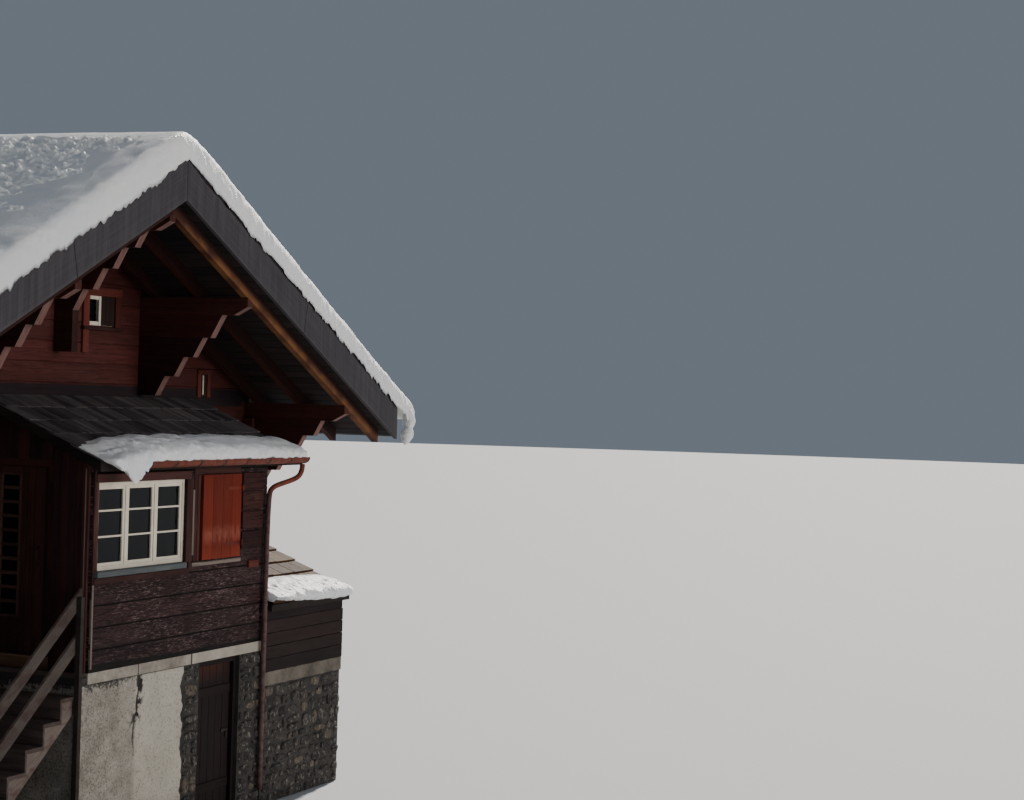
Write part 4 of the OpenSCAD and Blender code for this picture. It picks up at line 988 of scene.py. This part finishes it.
def lean_to_snow():
    """Snow on the lean-to eave, its foot ragged over the edge of the roof."""
    x = between(PORCH_RIGHT + 0.003, LEAN_RIGHT + 0.08, 240)
    outline = [(-0.03, -0.03), (-0.06, -0.026), (-0.085, 0.03), (-0.07, 0.1), (0.0, 0.15), (0.12, 0.142),
               (0.26, 0.115), (0.4, 0.07), (0.52, -0.012), (0.4, -0.006), (0.22, -0.002), (0.04, -0.002)]
    reach = np.interp(x, [2.2, 2.6, 3.2, 4.2], [1.15, 0.95, 1.05, 0.8])
    thick = np.interp(x, [2.2, 3.0, 3.6, 4.2], [0.9, 1.05, 1.0, 0.75])

    def lifted(x, way, height):
        """The foot of the snow lies higher towards its left end."""
        rise = np.interp(x, [2.2, 2.35, 2.6, 3.0, 3.6], [0.12, 0.1, 0.06, 0.03, 0.0])
        height[:, :3] += np.outer(rise, (1.0, 1.0, 0.6))
        return way, height

    low_roof_snow("lean_to_eave_snow", x, (LEAN_EAVE_Y, LEAN_ROOF_Z + 0.002), outline, reach, thick,
                  (0.03, 0.3), "lean_to_snow", 93, lifted)


roof_snow()
wind_crust()
hanging_snow()
porch_snow()
lean_to_snow()


# Boards and shingles


def slope_boards():
    """Soffit boards under both slopes, side by side along the house, a hair apart."""
    reach = (EAVE_X - 0.02) / math.cos(PITCH)
    middle = np.arange(0.085, reach - 0.07, 0.152)
    x = middle * math.cos(PITCH)
    half = np.array([0.0, VERGE_Y - 0.042, 0.0])
    rows = []
    for side in (-1, 1):
        normal = np.array([-side * SLOPE, 0.0, -1.0])
        normal /= np.linalg.norm(normal)
        centre = np.stack([side * x, 0 * x, RIDGE_Z + RAFTER_RISE - SLOPE * x], -1) + normal * 0.005
        rows += [row(c - half, c + half, normal, 0.147, 0.018) for c in centre]
    boards("soffit_boards", rows, SOFFIT, slot="soffit_boards", bevel=0.003)


def shingle_courses(name, x0, x1, y_low, y_high, z_low, exposure, width, butt, material, slot, seed):
    """Shingles in courses up a low roof. Each lies tilted on the course below, its length a little
    over one exposure, its width random round a mean."""
    rng = np.random.default_rng(seed)
    normal = unit(np.array([0.0, -PORCH_SLOPE, 1.0]))
    rows = []
    for y in np.arange(y_low, y_high - 0.03, exposure):
        x = x0 - rng.uniform(0, width * 0.5)
        while x < x1 - 0.01:
            wide = width * rng.uniform(0.72, 1.3)
            left, right = max(x, x0), min(x + wide, x1)
            x += wide
            if right - left < 0.03:
                continue
            foot = y - rng.uniform(0.0, 0.016)
            head = min(y + exposure * 1.25, y_high)
            lift = butt + 0.004 + rng.uniform(0, 0.006)
            middle = (left + right) / 2
            start = np.array([middle, foot, z_low + PORCH_SLOPE * (foot - y_low)]) + normal * lift
            end = np.array([middle, head, z_low + PORCH_SLOPE * (head - y_low)]) + normal * 0.003
            rows.append(row(start, end, normal, right - left - 0.006, butt))
    boards(name, rows, material, slot=slot, bevel=0.003, seed=seed)


slope_boards()
shingle_courses("porch_shingles", PORCH_LEFT - 0.1, PORCH_RIGHT + 0.53, PORCH_EAVE_Y, -4.003, PORCH_ROOF_Z,
                0.295, 0.125, 0.013, SHINGLE_GREY, "grey_shingles", 5)
shingle_courses("lean_to_shingles", PORCH_RIGHT + 0.004, LEAN_RIGHT + 0.03, LEAN_EAVE_Y, -4.155,
                LEAN_ROOF_Z, 0.262, 0.24, 0.024, SHINGLE_TAN, "wood_shingles", 8)


def lean_to_boards():
    """Level boards on the front of the lean-to, and on its right side, cut back under the roof."""
    left, side_x, band_x = PORCH_RIGHT + 0.004, LEAN_RIGHT + 0.007, LEAN_RIGHT + 0.005
    spacing, low, high = 0.148, 1.512, 1.656
    rows = [level(left, LEAN_RIGHT, low + spacing * k, high + spacing * k, 0.018, LEAN_FACE)
            for k in range(5)]
    for k in range(9):
        top = high + spacing * k
        start = LEAN_FACE + max((top - LEAN_TOP) / PORCH_SLOPE + 0.03, -0.018)
        if start < -4.15:
            rows.append(side_level(side_x, start, -GABLE_FACE, top - 0.072, 0.144, 0.022, RIGHT))
    boards("lean_to_boards", rows, LEAN_BOARDS, slot="weathered_boards", stations=9, wander=0.0022, seed=3)
    rows = [level(left, LEAN_RIGHT + 0.01, 1.352, 1.508, 0.014, LEAN_FACE),
            side_level(band_x, LEAN_FACE - 0.014, -GABLE_FACE, 1.43, 0.156, 0.018, RIGHT)]
    boards("lean_to_band", rows, LEAN_BAND, slot="pale_band", stations=24, wander=0.005, seed=4)


def porch_side_boards():
    """Upright boards on the left side of the porch, their heads under the sloping roof."""
    x, post_y = PORCH_LEFT - 0.007, -5.258

    def under_roof(y):
        """Height just under the porch roof, which rises evenly towards the house."""
        return PORCH_TOP + PORCH_SLOPE * (y - PORCH_FACE) - 0.01

    joints = [-4.856, -4.963, -5.043, -5.13, -5.216]
    rows = [side_upright(x, (back + front) / 2, CELLAR_Z, under_roof(front), back - front - 0.004, 0.022)
            for back, front in zip(joints, joints[1:])]
    for k in range(6):
        y = -4.07 - 0.14 * k
        rows.append(side_upright(x, y, 3.965, under_roof(y - 0.07), 0.136, 0.022))
    boards("porch_side_boards", rows, DARK_BOARDS, slot="weathered_boards", stations=8, wander=0.002,
           seed=11)
    post = [side_upright(PORCH_LEFT - 0.004, post_y, CELLAR_Z, 3.95, 0.08, 0.04),
            upright(-1.13, -1.098, 1.92, 3.9, 0.02)]
    boards("porch_corner_post", post, CASING, slot="dark_timber", stations=8, wander=0.0015, seed=12)
    edge = [side_upright(PORCH_LEFT - 0.026, post_y, CELLAR_Z + 0.01, 3.9, 0.012, 0.006)]
    boards("porch_post_edge", edge, PALE_TRIM, slot="weathered_boards", bevel=0.001, seed=13)


lean_to_boards()
porch_side_boards()


# Windows


def casement(left, width, lights, face):
    """The sashes of a window in a wall that faces the front, inside the frame of each light: two
    stiles, two rails and two glazing bars, all reaching back to the glass."""
    frame_w, sash = 0.04, 0.034
    light = (width - frame_w * (lights + 1)) / lights
    low, high = SILL_Z + frame_w, SILL_Z + WINDOW_HEIGHT - frame_w
    stile_y, rail_y, bar_y = face + 0.0395, face + 0.04, face + 0.0415
    crossing = [(z, rail_y, sash, 0.021) for z in (low + sash / 2, high - sash / 2)]
    crossing += [(z, bar_y, 0.02, 0.018) for z in BAR_HEIGHTS]
    rows = []
    for k in range(lights):
        x0 = left + frame_w + k * (light + frame_w)
        x1 = x0 + light
        rows += [row((x, stile_y, low), (x, stile_y, high), FRONT, sash, 0.023)
                 for x in (x0 + sash / 2, x1 - sash / 2)]
        rows += [row((x0 + sash, y, z), (x1 - sash, y, z), FRONT, high_by, thick)
                 for z, y, high_by, thick in crossing]
    return rows


def surround(left, width, face):
    """The casing round a window: two uprights, a head over them and a sill that stands out further."""
    side_w, head_w, sill_w, proud = 0.1, 0.09, 0.06, 0.024
    foot, right, top = SILL_Z, left + width, SILL_Z + WINDOW_HEIGHT
    x0, x1 = left - side_w - 0.02, right + side_w + 0.02
    return [upright(left - side_w, left + 0.012, foot - 0.01, top, proud, face),
            upright(right - 0.012, right + side_w, foot - 0.01, top, proud, face),
            level(x0, x1, top - 0.012, top + head_w, proud + 0.006, face),
            level(x0, x1, foot - sill_w, foot + 0.008, proud + 0.035, face)]


def front_windows():
    """Sashes, casings and sills of the porch windows, and the boards and log ends beside them."""
    rows = casement(-1.06, 1.6, 3, PORCH_FACE) + casement(0.85, 0.71, 2, PORCH_FACE)
    boards("porch_sashes", rows, CREAM, slot="cream_paint", bevel=0.004)
    rows = [level(-1.1, 0.6, 3.758, 3.845, 0.026), upright(0.532, 0.6, 2.88, 3.758, 0.024),
            upright(0.6, 0.66, 2.8, 3.758, 0.016), upright(-1.098, -1.052, 2.88, 3.758, 0.018),
            upright(0.76, 0.808, 2.87, 3.795, 0.014), upright(0.7, 0.76, 2.87, 3.8, 0.007),
            level(0.69, 1.62, 3.802, 3.87, 0.012), level(-1.11, 0.6, 2.752, 2.812, 0.03)]
    boards("porch_casings", rows, CASING, slot="dark_timber", stations=6, wander=0.0012, seed=21)
    boards("porch_window_sill", [level(-1.1, 0.5, 2.82, 2.883, 0.06)], SILL_BLUE, slot="weathered_boards",
           stations=12, wander=0.0015, bevel=0.008, seed=22)
    rows = [upright(0.664, 0.7, 2.94, 3.64, 0.012), level(0.635, 1.62, 2.822, 2.862, 0.04),
            upright(-1.13, -1.104, 1.92, 2.75, 0.024)]
    boards("porch_pale_strips", rows, PALE_TRIM, slot="weathered_boards", stations=8, wander=0.0012,
           seed=23)
    boards("porch_short_board", [level(1.82, 2.03, 2.735, 2.815, 0.03)], RED_CASING,
           slot="weathered_boards", seed=24)
    joints = [2.946, 3.161, 3.38, 3.6, 3.814]
    rows = [level(1.665, 2.106, low + 0.008, high - 0.008, 0.024) for low, high in zip(joints, joints[1:])]
    boards("porch_log_ends", rows, PORCH_ENDS, slot="squared_logs", stations=5, wander=0.003, bevel=0.012,
           seed=25)


def house_windows():
    """Sashes and casings of the windows in the rear and side walls."""
    sashes, casings = [], []
    for turn, face in ((180, -GABLE_FACE), (-90, -HALF_WIDTH), (90, -HALF_WIDTH)):
        for x in (-1.9, 1.9):
            sashes.append(turned(casement(x - 0.53, 1.06, 2, face), turn))
            casings.append(turned(surround(x - 0.53, 1.06, face), turn))
    boards("house_sashes", np.concatenate(sashes), CREAM, slot="cream_paint", bevel=0.005)
    boards("house_casings", np.concatenate(casings), CASING, slot="dark_timber", stations=5,
           wander=0.001, seed=27)


def attic_windows():
    """Casings, sills, sashes and closed panels of the attic windows in both gables.

    A board is given by the function that makes it, its left, right, foot and top from the lower left
    corner of the window, and its thickness.
    """
    large = {
        "casings": [(upright, -0.075, 0.03, -0.3, 0.34, 0.028), (upright, 0.52, 0.63, -0.02, 0.34, 0.028),
                    (level, -0.085, 0.63, 0.325, 0.42, 0.032)],
        "sills": [(level, -0.09, 0.64, -0.05, -0.012, 0.05)],
        "sashes": [(upright, 0.225, 0.262, 0.0, 0.33, 0.012), (level, 0.06, 0.22, 0.0, 0.045, 0.01),
                   (level, 0.06, 0.22, 0.285, 0.33, 0.01)],
        "panels": [(upright, 0.262 + 0.086 * k, 0.345 + 0.086 * k, 0.005, 0.325, 0.008) for k in range(3)]}
    small = {
        "casings": [(upright, -0.05, 0.02, -0.01, 0.275, 0.02), (upright, 0.16, 0.23, -0.01, 0.275, 0.02),
                    (level, -0.05, 0.23, 0.262, 0.32, 0.022)],
        "sashes": [(upright, 0.066, 0.088, 0.02, 0.25, 0.012)],
        "panels": [(upright, 0.02, 0.066, 0.0, 0.27, 0.006), (upright, 0.088, 0.16, 0.0, 0.27, 0.006)]}
    rows = {kind: [] for kind in large}
    for turn in (0, 180):
        for window, middle, half, foot in ((large, 0.79, 0.275, EAVE_Z + 0.855),
                                           (small, 2.91, 0.09, EAVE_Z + 0.11)):
            for left in (-middle - half, middle - half):
                for kind, table in window.items():
                    made = [make(left + u0, left + u1, foot + v0, foot + v1, proud, -GABLE_FACE)
                            for make, u0, u1, v0, v1, proud in table]
                    rows[kind].append(turned(made, turn))
    rows = {kind: np.concatenate(made) for kind, made in rows.items()}
    boards("attic_casings", rows["casings"], RED_CASING, slot="dark_timber", stations=4, wander=0.001,
           seed=31)
    boards("attic_sills", rows["sills"], CASING, slot="dark_timber", seed=32)
    boards("attic_sashes", rows["sashes"], CREAM, slot="cream_paint", bevel=0.003, seed=33)
    boards("attic_panels", rows["panels"], PANEL_BROWN, slot="weathered_boards", bevel=0.003, seed=34)


front_windows()
house_windows()
attic_windows()


# Doors and shutter


def shutter_boards():
    """Four upright boards on the shutter, a joint's width apart, low enough to leave its straps proud."""
    foot, top = SILL_Z + 0.002, CELLAR_Z + 1.913
    left, board = 0.815, 0.78 / 4
    rows = [upright(left + board * k + 0.003, left + board * (k + 1) - 0.003, foot, top, 0.003, -5.373)
            for k in range(4)]
    boards("shutter_boards", rows, SHUTTER_RED, "shutter", "red_paint", bevel=0.0025, stations=6,
           wander=0.0008, seed=41)


def cellar_door_boards():
    """Five upright boards and two ledges on the cellar door, and its latch."""
    left, width, face, ledge_face = 0.962, 0.706, -5.235, -5.247
    board = width / 5
    rows = [upright(left + board * k + 0.002, left + board * (k + 1) - 0.002, 0.11, 1.695, 0.012, face)
            for k in range(5)]
    rows += [level(left + 0.02, left + width - 0.02, z, z + 0.1, 0.016, ledge_face) for z in (0.32, 1.36)]
    boards("cellar_door_boards", rows, DOOR_BOARDS, "cellar_door", "dark_timber", stations=6,
           wander=0.0012, seed=43)
    rows = [level(1.5, 1.64, 0.93, 0.965, 0.012, ledge_face),
            upright(1.59, 1.612, 0.87, 0.93, 0.018, ledge_face)]
    boards("cellar_door_latch", rows, IRON, "cellar_door", "iron", bevel=0.003, seed=44)


def entrance_door_boards():
    """Upright boards on the entrance door round its glazed strip, nine bars that part the strip into
    ten panes, the strip's beads, and a bent handle."""
    board_x, bead_x, bar_x = -1.069, -1.062, -1.054
    foot, top, glass_low, glass_high = 2.01, 3.885, 2.38, 3.81
    strip_back, strip_front = -4.168, -4.418
    sides = ((-4.064, strip_back + 0.012), (-4.505, strip_front - 0.012), (-4.586, -4.509),
             (-4.722, -4.59), (-4.786, -4.726))
    patches = [(*side, foot, top) for side in sides]
    patches += [(-4.156, -4.293, foot, glass_low - 0.012), (-4.43, -4.297, foot, glass_low - 0.012),
                (-4.156, -4.43, glass_high + 0.012, top)]
    rows = [side_upright(board_x, (y0 + y1) / 2, z0, z1, abs(y0 - y1) - 0.002, 0.016)
            for y0, y1, z0, z1 in patches]
    boards("entrance_door_boards", rows, DOOR_BOARDS, "entrance_door", "dark_timber", stations=7,
           wander=0.001, seed=47)
    rows = [side_level(bar_x, strip_back, strip_front, glass_low + 0.143 * k, 0.034, 0.034, LEFT)
            for k in range(1, 10)]
    rows += [side_upright(bead_x, y, glass_low - 0.012, glass_high + 0.012, 0.03, 0.034)
             for y in (strip_back - 0.005, strip_front + 0.005)]
    rows += [side_level(bead_x, strip_back, strip_front, z, 0.03, 0.034, LEFT)
             for z in (glass_low, glass_high)]
    boards("entrance_door_bars", rows, DOOR_BARS, "entrance_door", "dark_timber", bevel=0.004, seed=48)
    way = np.linspace(0, math.pi, 15)
    path = np.stack([-1.075 - 0.045 * np.sin(way), np.full(15, -4.66), 3.0 - 0.09 * np.cos(way)], -1)
    swept("entrance_door_handle", tube(path, 0.009, 10, Y_AXIS), IRON, body="entrance_door",
          slot="iron", smooth=True)


shutter_boards()
cellar_door_boards()
entrance_door_boards()


# Stonework


def stone_patches(origin, along, outward, length, height, seed):
    """Rubble on a wall face, as one patch a stone, in rows of random height and width.

    On a stone a and b run from -1 to 1. Its outline is a square with rounded corners, turned a
    little and bent by smooth noise. Its face stands out by the eighth root of (1 - a^4)(1 - b^4) of
    its own depth, leans by a random share of a and b, and is broken by smooth noise.
    """
    rng = np.random.default_rng(seed)
    cells = []
    v = 0.0
    while v < height - 0.04:
        rise = rng.uniform(0.07, 0.2)
        rise = height - v if height - v - rise < 0.06 else rise
        u = 0.0
        while u < length - 0.02:
            wide = rng.uniform(0.09, 0.34)
            wide = length - u if length - u - wide < 0.08 else wide
            parts = 2 if rise > 0.15 and rng.uniform() < 0.5 else 1
            for k in range(parts):
                cells.append((u + wide / 2, v + rise * (k + 0.5) / parts, wide / 2, rise / 2 / parts))
            u += wide
        v += rise
    cells = np.array(cells)
    line = np.array([-1.0, -0.8, -0.3, 0.3, 0.8, 1.0])
    a, b = np.meshgrid(line, line, indexing="ij")
    count = len(cells)
    centre_u, centre_v, half_u, half_v = (cells[:, k, None, None] for k in range(4))
    turn = rng.uniform(-0.16, 0.16, (count, 1, 1))
    u = centre_u + (half_u - 0.006) * a * np.sqrt(1 - 0.45 * b**2) - turn * half_v * b
    v = centre_v + (half_v - 0.006) * b * np.sqrt(1 - 0.45 * a**2) + turn * half_v * a
    number = np.arange(count)[:, None, None] * 3.1
    bend_u = 0.018 * lattice_noise(u + number, v, 0.06, seed + 1)
    bend_v = 0.014 * lattice_noise(u + number, v, 0.06, seed + 2)
    depth = rng.uniform(0.006, 0.024, (count, 1, 1))
    lean = rng.uniform(-0.006, 0.006, (2, count, 1, 1))
    dome = ((1 - a**4) * (1 - b**4)) ** 0.125
    h = -0.012 + (0.012 + depth + lean[0] * a + lean[1] * b) * dome
    h = h + 0.006 * dome * lattice_noise(u + number, v, 0.045, seed + 3)
    points = face_points(origin, along, outward, np.clip(u + bend_u, 0.0, length),
                         np.clip(v + bend_v, 0.0, height), np.minimum(h, 0.028))
    tone = np.broadcast_to(rng.uniform(0, 1, (count, 1, 1)), (count, 6, 6))
    return points.reshape(-1, 3), tone.reshape(-1)


def stonework(name, walls):
    """One piece of rubble from several wall faces, each stone closed by one face at its back."""
    sets = [stone_patches(*wall) for wall in walls]
    points = np.concatenate([s[0] for s in sets])
    tone = np.concatenate([s[1] for s in sets])
    first = (np.arange(len(points) // 36) * 36)[:, None, None]
    grid = np.arange(36).reshape(6, 6)
    quads = np.stack([grid[:-1, :-1], grid[1:, :-1], grid[1:, 1:], grid[:-1, 1:]], -1).reshape(1, -1, 4)
    rim = np.concatenate([grid[0, :-1], grid[:-1, -1], grid[-1, :0:-1], grid[:0:-1, 0]])
    faces = [(quads + first).reshape(-1, 4), (rim[None, None] + first).reshape(-1, 20)]
    piece(name, points, faces, RUBBLE, slot="rubble_stone", smooth=True, marks={"tone": tone})


def plaster_panel(name, origin, along, outward, length, jagged, crack):
    """Old render on a cellar wall: level rows of a lumpy sheet, carried up it as closed rings.

    The sheet thins to nothing along its jagged right edge, and to nothing along the crack, whose
    place across the wall is read between given points. The crack attribute is one in the crack and
    in the mould blobs beside it."""
    rows, across = 180, 210 if length > 1.5 else 80
    v = np.linspace(0.0, PLASTER_TOP, rows)[:, None]
    edge = length - jagged * np.abs(rough(v, v * 0, 0.3, 51) + 0.4 * lattice_noise(v, v * 0, 0.05, 57))
    u = edge * np.linspace(0.0, 1.0, across)[None, :]
    depth = 0.013 + 0.005 * rough(u, v, 0.5, 53) + 0.002 * rough(u, v, 0.07, 54)
    mark = 0 * depth
    if crack:
        middle = np.interp(v, [p[1] for p in crack], [p[0] for p in crack])
        middle = middle + 0.012 * rough(v, v * 0, 0.14, 55)
        gap = np.abs(u - middle) - 0.017 * np.clip((v - crack[0][1]) / 0.4, 0.0, 1.0)
        gap = gap - 0.006 * rough(v, u * 0.2, 0.05, 56)
        depth = depth * np.where(v > crack[0][1], np.clip(gap / 0.01, 0.02, 1.0), 1.0)
        blobs = np.clip((rough(u, v, 0.06, 58) - 0.25) / 0.1, 0.0, 1.0)
        blobs = blobs * np.clip(1.4 - gap / 0.07, 0.0, 1.0)
        mark = np.maximum(np.clip(1.0 - gap / 0.006, 0.0, 1.0), blobs * np.clip((v - 1.2) / 0.1, 0.0, 1.0))
        mark = mark * (v > crack[0][1])
    depth = depth * np.clip((edge - u) / 0.02, 0.05, 1.0)
    front = face_points(origin, along, outward, u, v, depth)
    back = face_points(origin, along, outward, np.concatenate([edge, edge * 0], 1), v, -0.004)
    mark = np.concatenate([mark, np.zeros((rows, 2))], axis=1).reshape(-1)
    swept(name, np.concatenate([front, back], axis=1), PLASTER, slot="limewashed_stone", smooth=True,
          marks={"crack": mark})


BODY_DEPTH, BODY_WIDTH = 2 * GABLE_FACE, 2 * HALF_WIDTH
plaster_panel("porch_front_render", (PLINTH_LEFT, PORCH_FACE, 0), X_AXIS, FRONT, 1.84, 0.05,
              [(0.91, 0.95), (0.9, 1.2), (0.914, 1.316), (0.975, 1.513), (1.013, 1.8)])
plaster_panel("porch_left_render", (PLINTH_LEFT, -4.16, 0), FRONT, LEFT, 1.17, 0.0, None)
stonework("front_stones", [
    ((0.6, PORCH_FACE, 0), X_AXIS, FRONT, 0.3, PORCH_STONES_TOP, 101),
    ((1.735, PORCH_FACE, 0), X_AXIS, FRONT, 0.485, PORCH_STONES_TOP, 102),
    ((PORCH_RIGHT + 0.005, LEAN_FACE, 0), X_AXIS, FRONT, 1.825, LEAN_STONES_TOP, 103),
    ((LEAN_RIGHT, LEAN_FACE, 0), Y_AXIS, RIGHT, 1.345, LEAN_STONES_TOP, 104),
    ((-HALF_WIDTH, -GABLE_FACE, 0), X_AXIS, FRONT, 2.83, BASE_STONES_TOP, 105)])
stonework("left_stones", [((-HALF_WIDTH, -GABLE_FACE, 0), Y_AXIS, LEFT, BODY_DEPTH, BASE_STONES_TOP, 106)])
stonework("right_stones", [((HALF_WIDTH, -GABLE_FACE, 0), Y_AXIS, RIGHT, BODY_DEPTH, BASE_STONES_TOP, 107)])
stonework("back_stones", [((-HALF_WIDTH, GABLE_FACE, 0), X_AXIS, BACK, BODY_WIDTH, BASE_STONES_TOP, 108)])


# Gutter and downpipe fittings


def gutter_fittings():
    """Straps round the gutter, and the bead along its rim.

    A strap is a flat bar whose four corners are carried along half a circle under the gutter. It
    leans, so that its head is further right than its foot.
    """
    x = np.array([-0.55, -0.087, 0.372, 0.851, 1.298, 1.788, 2.25, 2.65])[:, None, None]
    angle = np.linspace(math.pi - 0.1, 2 * math.pi - 0.3, 18)[None, :, None]
    radius = np.array([0.0652, 0.0652, 0.069, 0.069])[None, None, :]
    side = np.array([-0.011, 0.011, 0.011, -0.011])[None, None, :]
    lean = 0.03 * np.cos((angle - math.pi) * 1.2)
    rings = np.stack(np.broadcast_arrays(x + side + lean, GUTTER_Y + radius * np.cos(angle),
                                         GUTTER_Z + radius * np.sin(angle)), -1)
    swept("gutter_straps", rings, IRON, slot="iron")
    path = np.stack([np.linspace(-0.94, 2.685, 60), np.full(60, GUTTER_Y - 0.063),
                     np.full(60, GUTTER_Z + 0.001)], -1)
    swept("gutter_bead", tube(path, 0.0065, 10, Y_AXIS), SHEET_RED, slot="red_sheet_metal", smooth=True)


def downpipe():
    """The downpipe as one smooth tube, its clips and its collars.

    The pipe's line is a cubic B-spline through doubled corners: up the wall, then in a double bend
    to the right and out to the gutter. It lies in one upright plane above its foot.
    """
    corner_x = np.array([PIPE_X, PIPE_X, PIPE_X, PIPE_X, 2.19, 2.29, 2.5, 2.6, 2.634, 2.634, 2.634])
    corner_z = np.array([0.2, 0.2, 1.5, 3.5, 3.61, 3.655, 3.705, 3.75, 3.83, 3.9, 3.91])
    right_by, out_by = 0.474, 0.165
    corner_y = PIPE_Y - out_by * (corner_x - PIPE_X) / right_by
    corners = np.stack([corner_x, corner_y, corner_z], -1)
    u = np.concatenate([np.linspace(1.0, 3.0, 30, endpoint=False), np.linspace(3.0, 8.99, 90)])
    i = np.floor(u).astype(int)
    weights = spline_weights((u - i)[:, None])
    path = sum(w * corners[np.clip(i + k - 1, 0, 10)] for k, w in enumerate(weights)) / 6
    path[0] = corners[0]
    across = unit(np.array([out_by, right_by, 0.0]))
    swept("downpipe_tube", tube(path, 0.03, 28, across), SHEET_RED, slot="red_sheet_metal",
          replaces=("downpipe",), smooth=True)
    height = np.linspace(-0.02, 0.02, 7)
    collars = []
    for z in (1.05, 2.3, 3.2):
        way = np.stack([np.full(7, PIPE_X), np.full(7, PIPE_Y), z + height], -1)
        collars.append(tube(way, 0.0302 + 0.0035 * np.sqrt(1 - (height / 0.0205) ** 2), 24, X_AXIS))
    swept("downpipe_collars", np.stack(collars), SHEET_RED, slot="red_sheet_metal", smooth=True)
    rows = [row((PIPE_X, -5.352, z), (PIPE_X, -5.325, z), Z_AXIS, 0.014, 0.03) for z in (2.142, 3.337)]
    boards("downpipe_clips", rows, IRON, slot="iron", bevel=0.002, seed=51)


gutter_fittings()
downpipe()


# Materials of the solids that stay

SOLIDS = [
    (GABLE_LOGS, "gable_wall_front_lower gable_wall_front_upper gable_wall_back_lower "
                 "gable_wall_back_upper"),
    (SIDE_LOGS, "side_wall_left side_wall_right"),
    (PORCH_LOGS, "porch_wall_front lean_to_walls"),
    (PORCH_SIDE, "porch_wall_left porch_wall_right porch_wall_over_door"),
    (BAND, "porch_sill_band"),
    (SLABS, "cellar_floor"),
    (MORTAR, "base_wall_front base_wall_sides base_wall_back porch_base_front porch_base_sides "
             "lean_to_base"),
    (DOOR_WOOD, "cellar_door_frame cellar_door entrance_frame entrance_door"),
    (GLASS, "entrance_door_glass porch_window_glass attic_window_glass house_window_glass"),
    (IRON, "hinge_pins"),
    (SHINGLE_BED_PAINTED_SHADE, "lean_to_roof porch_roof"),
    (SNOW, "lean_to_snow porch_snow roof_snow_left roof_snow_right"),
    (FLOORING, "main_floor attic_floor"),
    (CREAM, "porch_window_frames attic_window_frames house_window_frames"),
    (SHUTTER_SOLID, "shutter"),
    (SHEET_RED, "gutter downpipe"),
    (TIMBER_Y, "ridge_purlin mid_purlins eave_purlins"),
    (CONSOLE, "consoles_front consoles_back"),
    (RAFTER, "rafters_left rafters_right"),
    (BARGE, "roof_left roof_right barge_boards_front barge_boards_back"),
    (STAIR, "stair_strings stair_railing"),
    (TREAD, "stair_treads"),
]
for material, names in SOLIDS:
    for node_name in names.split():
        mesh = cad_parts[node_name].data
        mesh.materials.clear()
        mesh.materials.append(material)


# Floor and light


def floor_plane():
    """A wide pale floor just under the house: two rings of points joined by quads."""
    angles = np.linspace(0, 2 * math.pi, 64, endpoint=False)
    circle = np.stack([np.cos(angles), np.sin(angles), np.zeros(64)], -1)
    points = np.concatenate([circle * 20.0, circle * 180.0]) + np.array([0, 0, -0.004])
    material = finish(new_material("studio_floor")[0], (0.5, 0.51, 0.53, 1.0), 0.9)
    mesh = bpy.data.meshes.new("floor")
    faces = ring_faces(2, 64).tolist() + [list(range(64))]
    mesh.from_pydata(points.tolist(), [], faces)
    mesh.materials.append(material)
    made = bpy.data.objects.new("floor", mesh)
    bpy.context.scene.collection.objects.link(made)


def add_light(name, direction, strength, angle, tint):
    """A distant soft light that shines from a direction."""
    data = bpy.data.lights.new(name, "SUN")
    data.energy = strength
    data.angle = math.radians(angle)
    data.color = tint
    made = bpy.data.objects.new(name, data)
    away = unit(np.array(direction, float))
    side = unit(np.cross(Z_AXIS, away))
    placing = np.eye(4)
    placing[:3, :3] = np.column_stack([side, np.cross(away, side), away])
    made.matrix_world = Matrix(placing.tolist())
    bpy.context.scene.collection.objects.link(made)


def add_world():
    """An even sky, slightly blue."""
    world = bpy.data.worlds.new("studio")
    world.use_nodes = True
    background = world.node_tree.nodes["Background"]
    background.inputs["Color"].default_value = (0.42, 0.50, 0.60, 1.0)
    background.inputs["Strength"].default_value = 0.34
    bpy.context.scene.world = world


floor_plane()
add_world()
add_light("front", direction=(0.05, -1.0, 0.04), strength=2.3, angle=46.0, tint=(1.0, 0.94, 0.87))
add_light("low_sun", direction=(0.85, 0.12, 0.475), strength=7.5, angle=3.5, tint=(1.0, 0.94, 0.86))
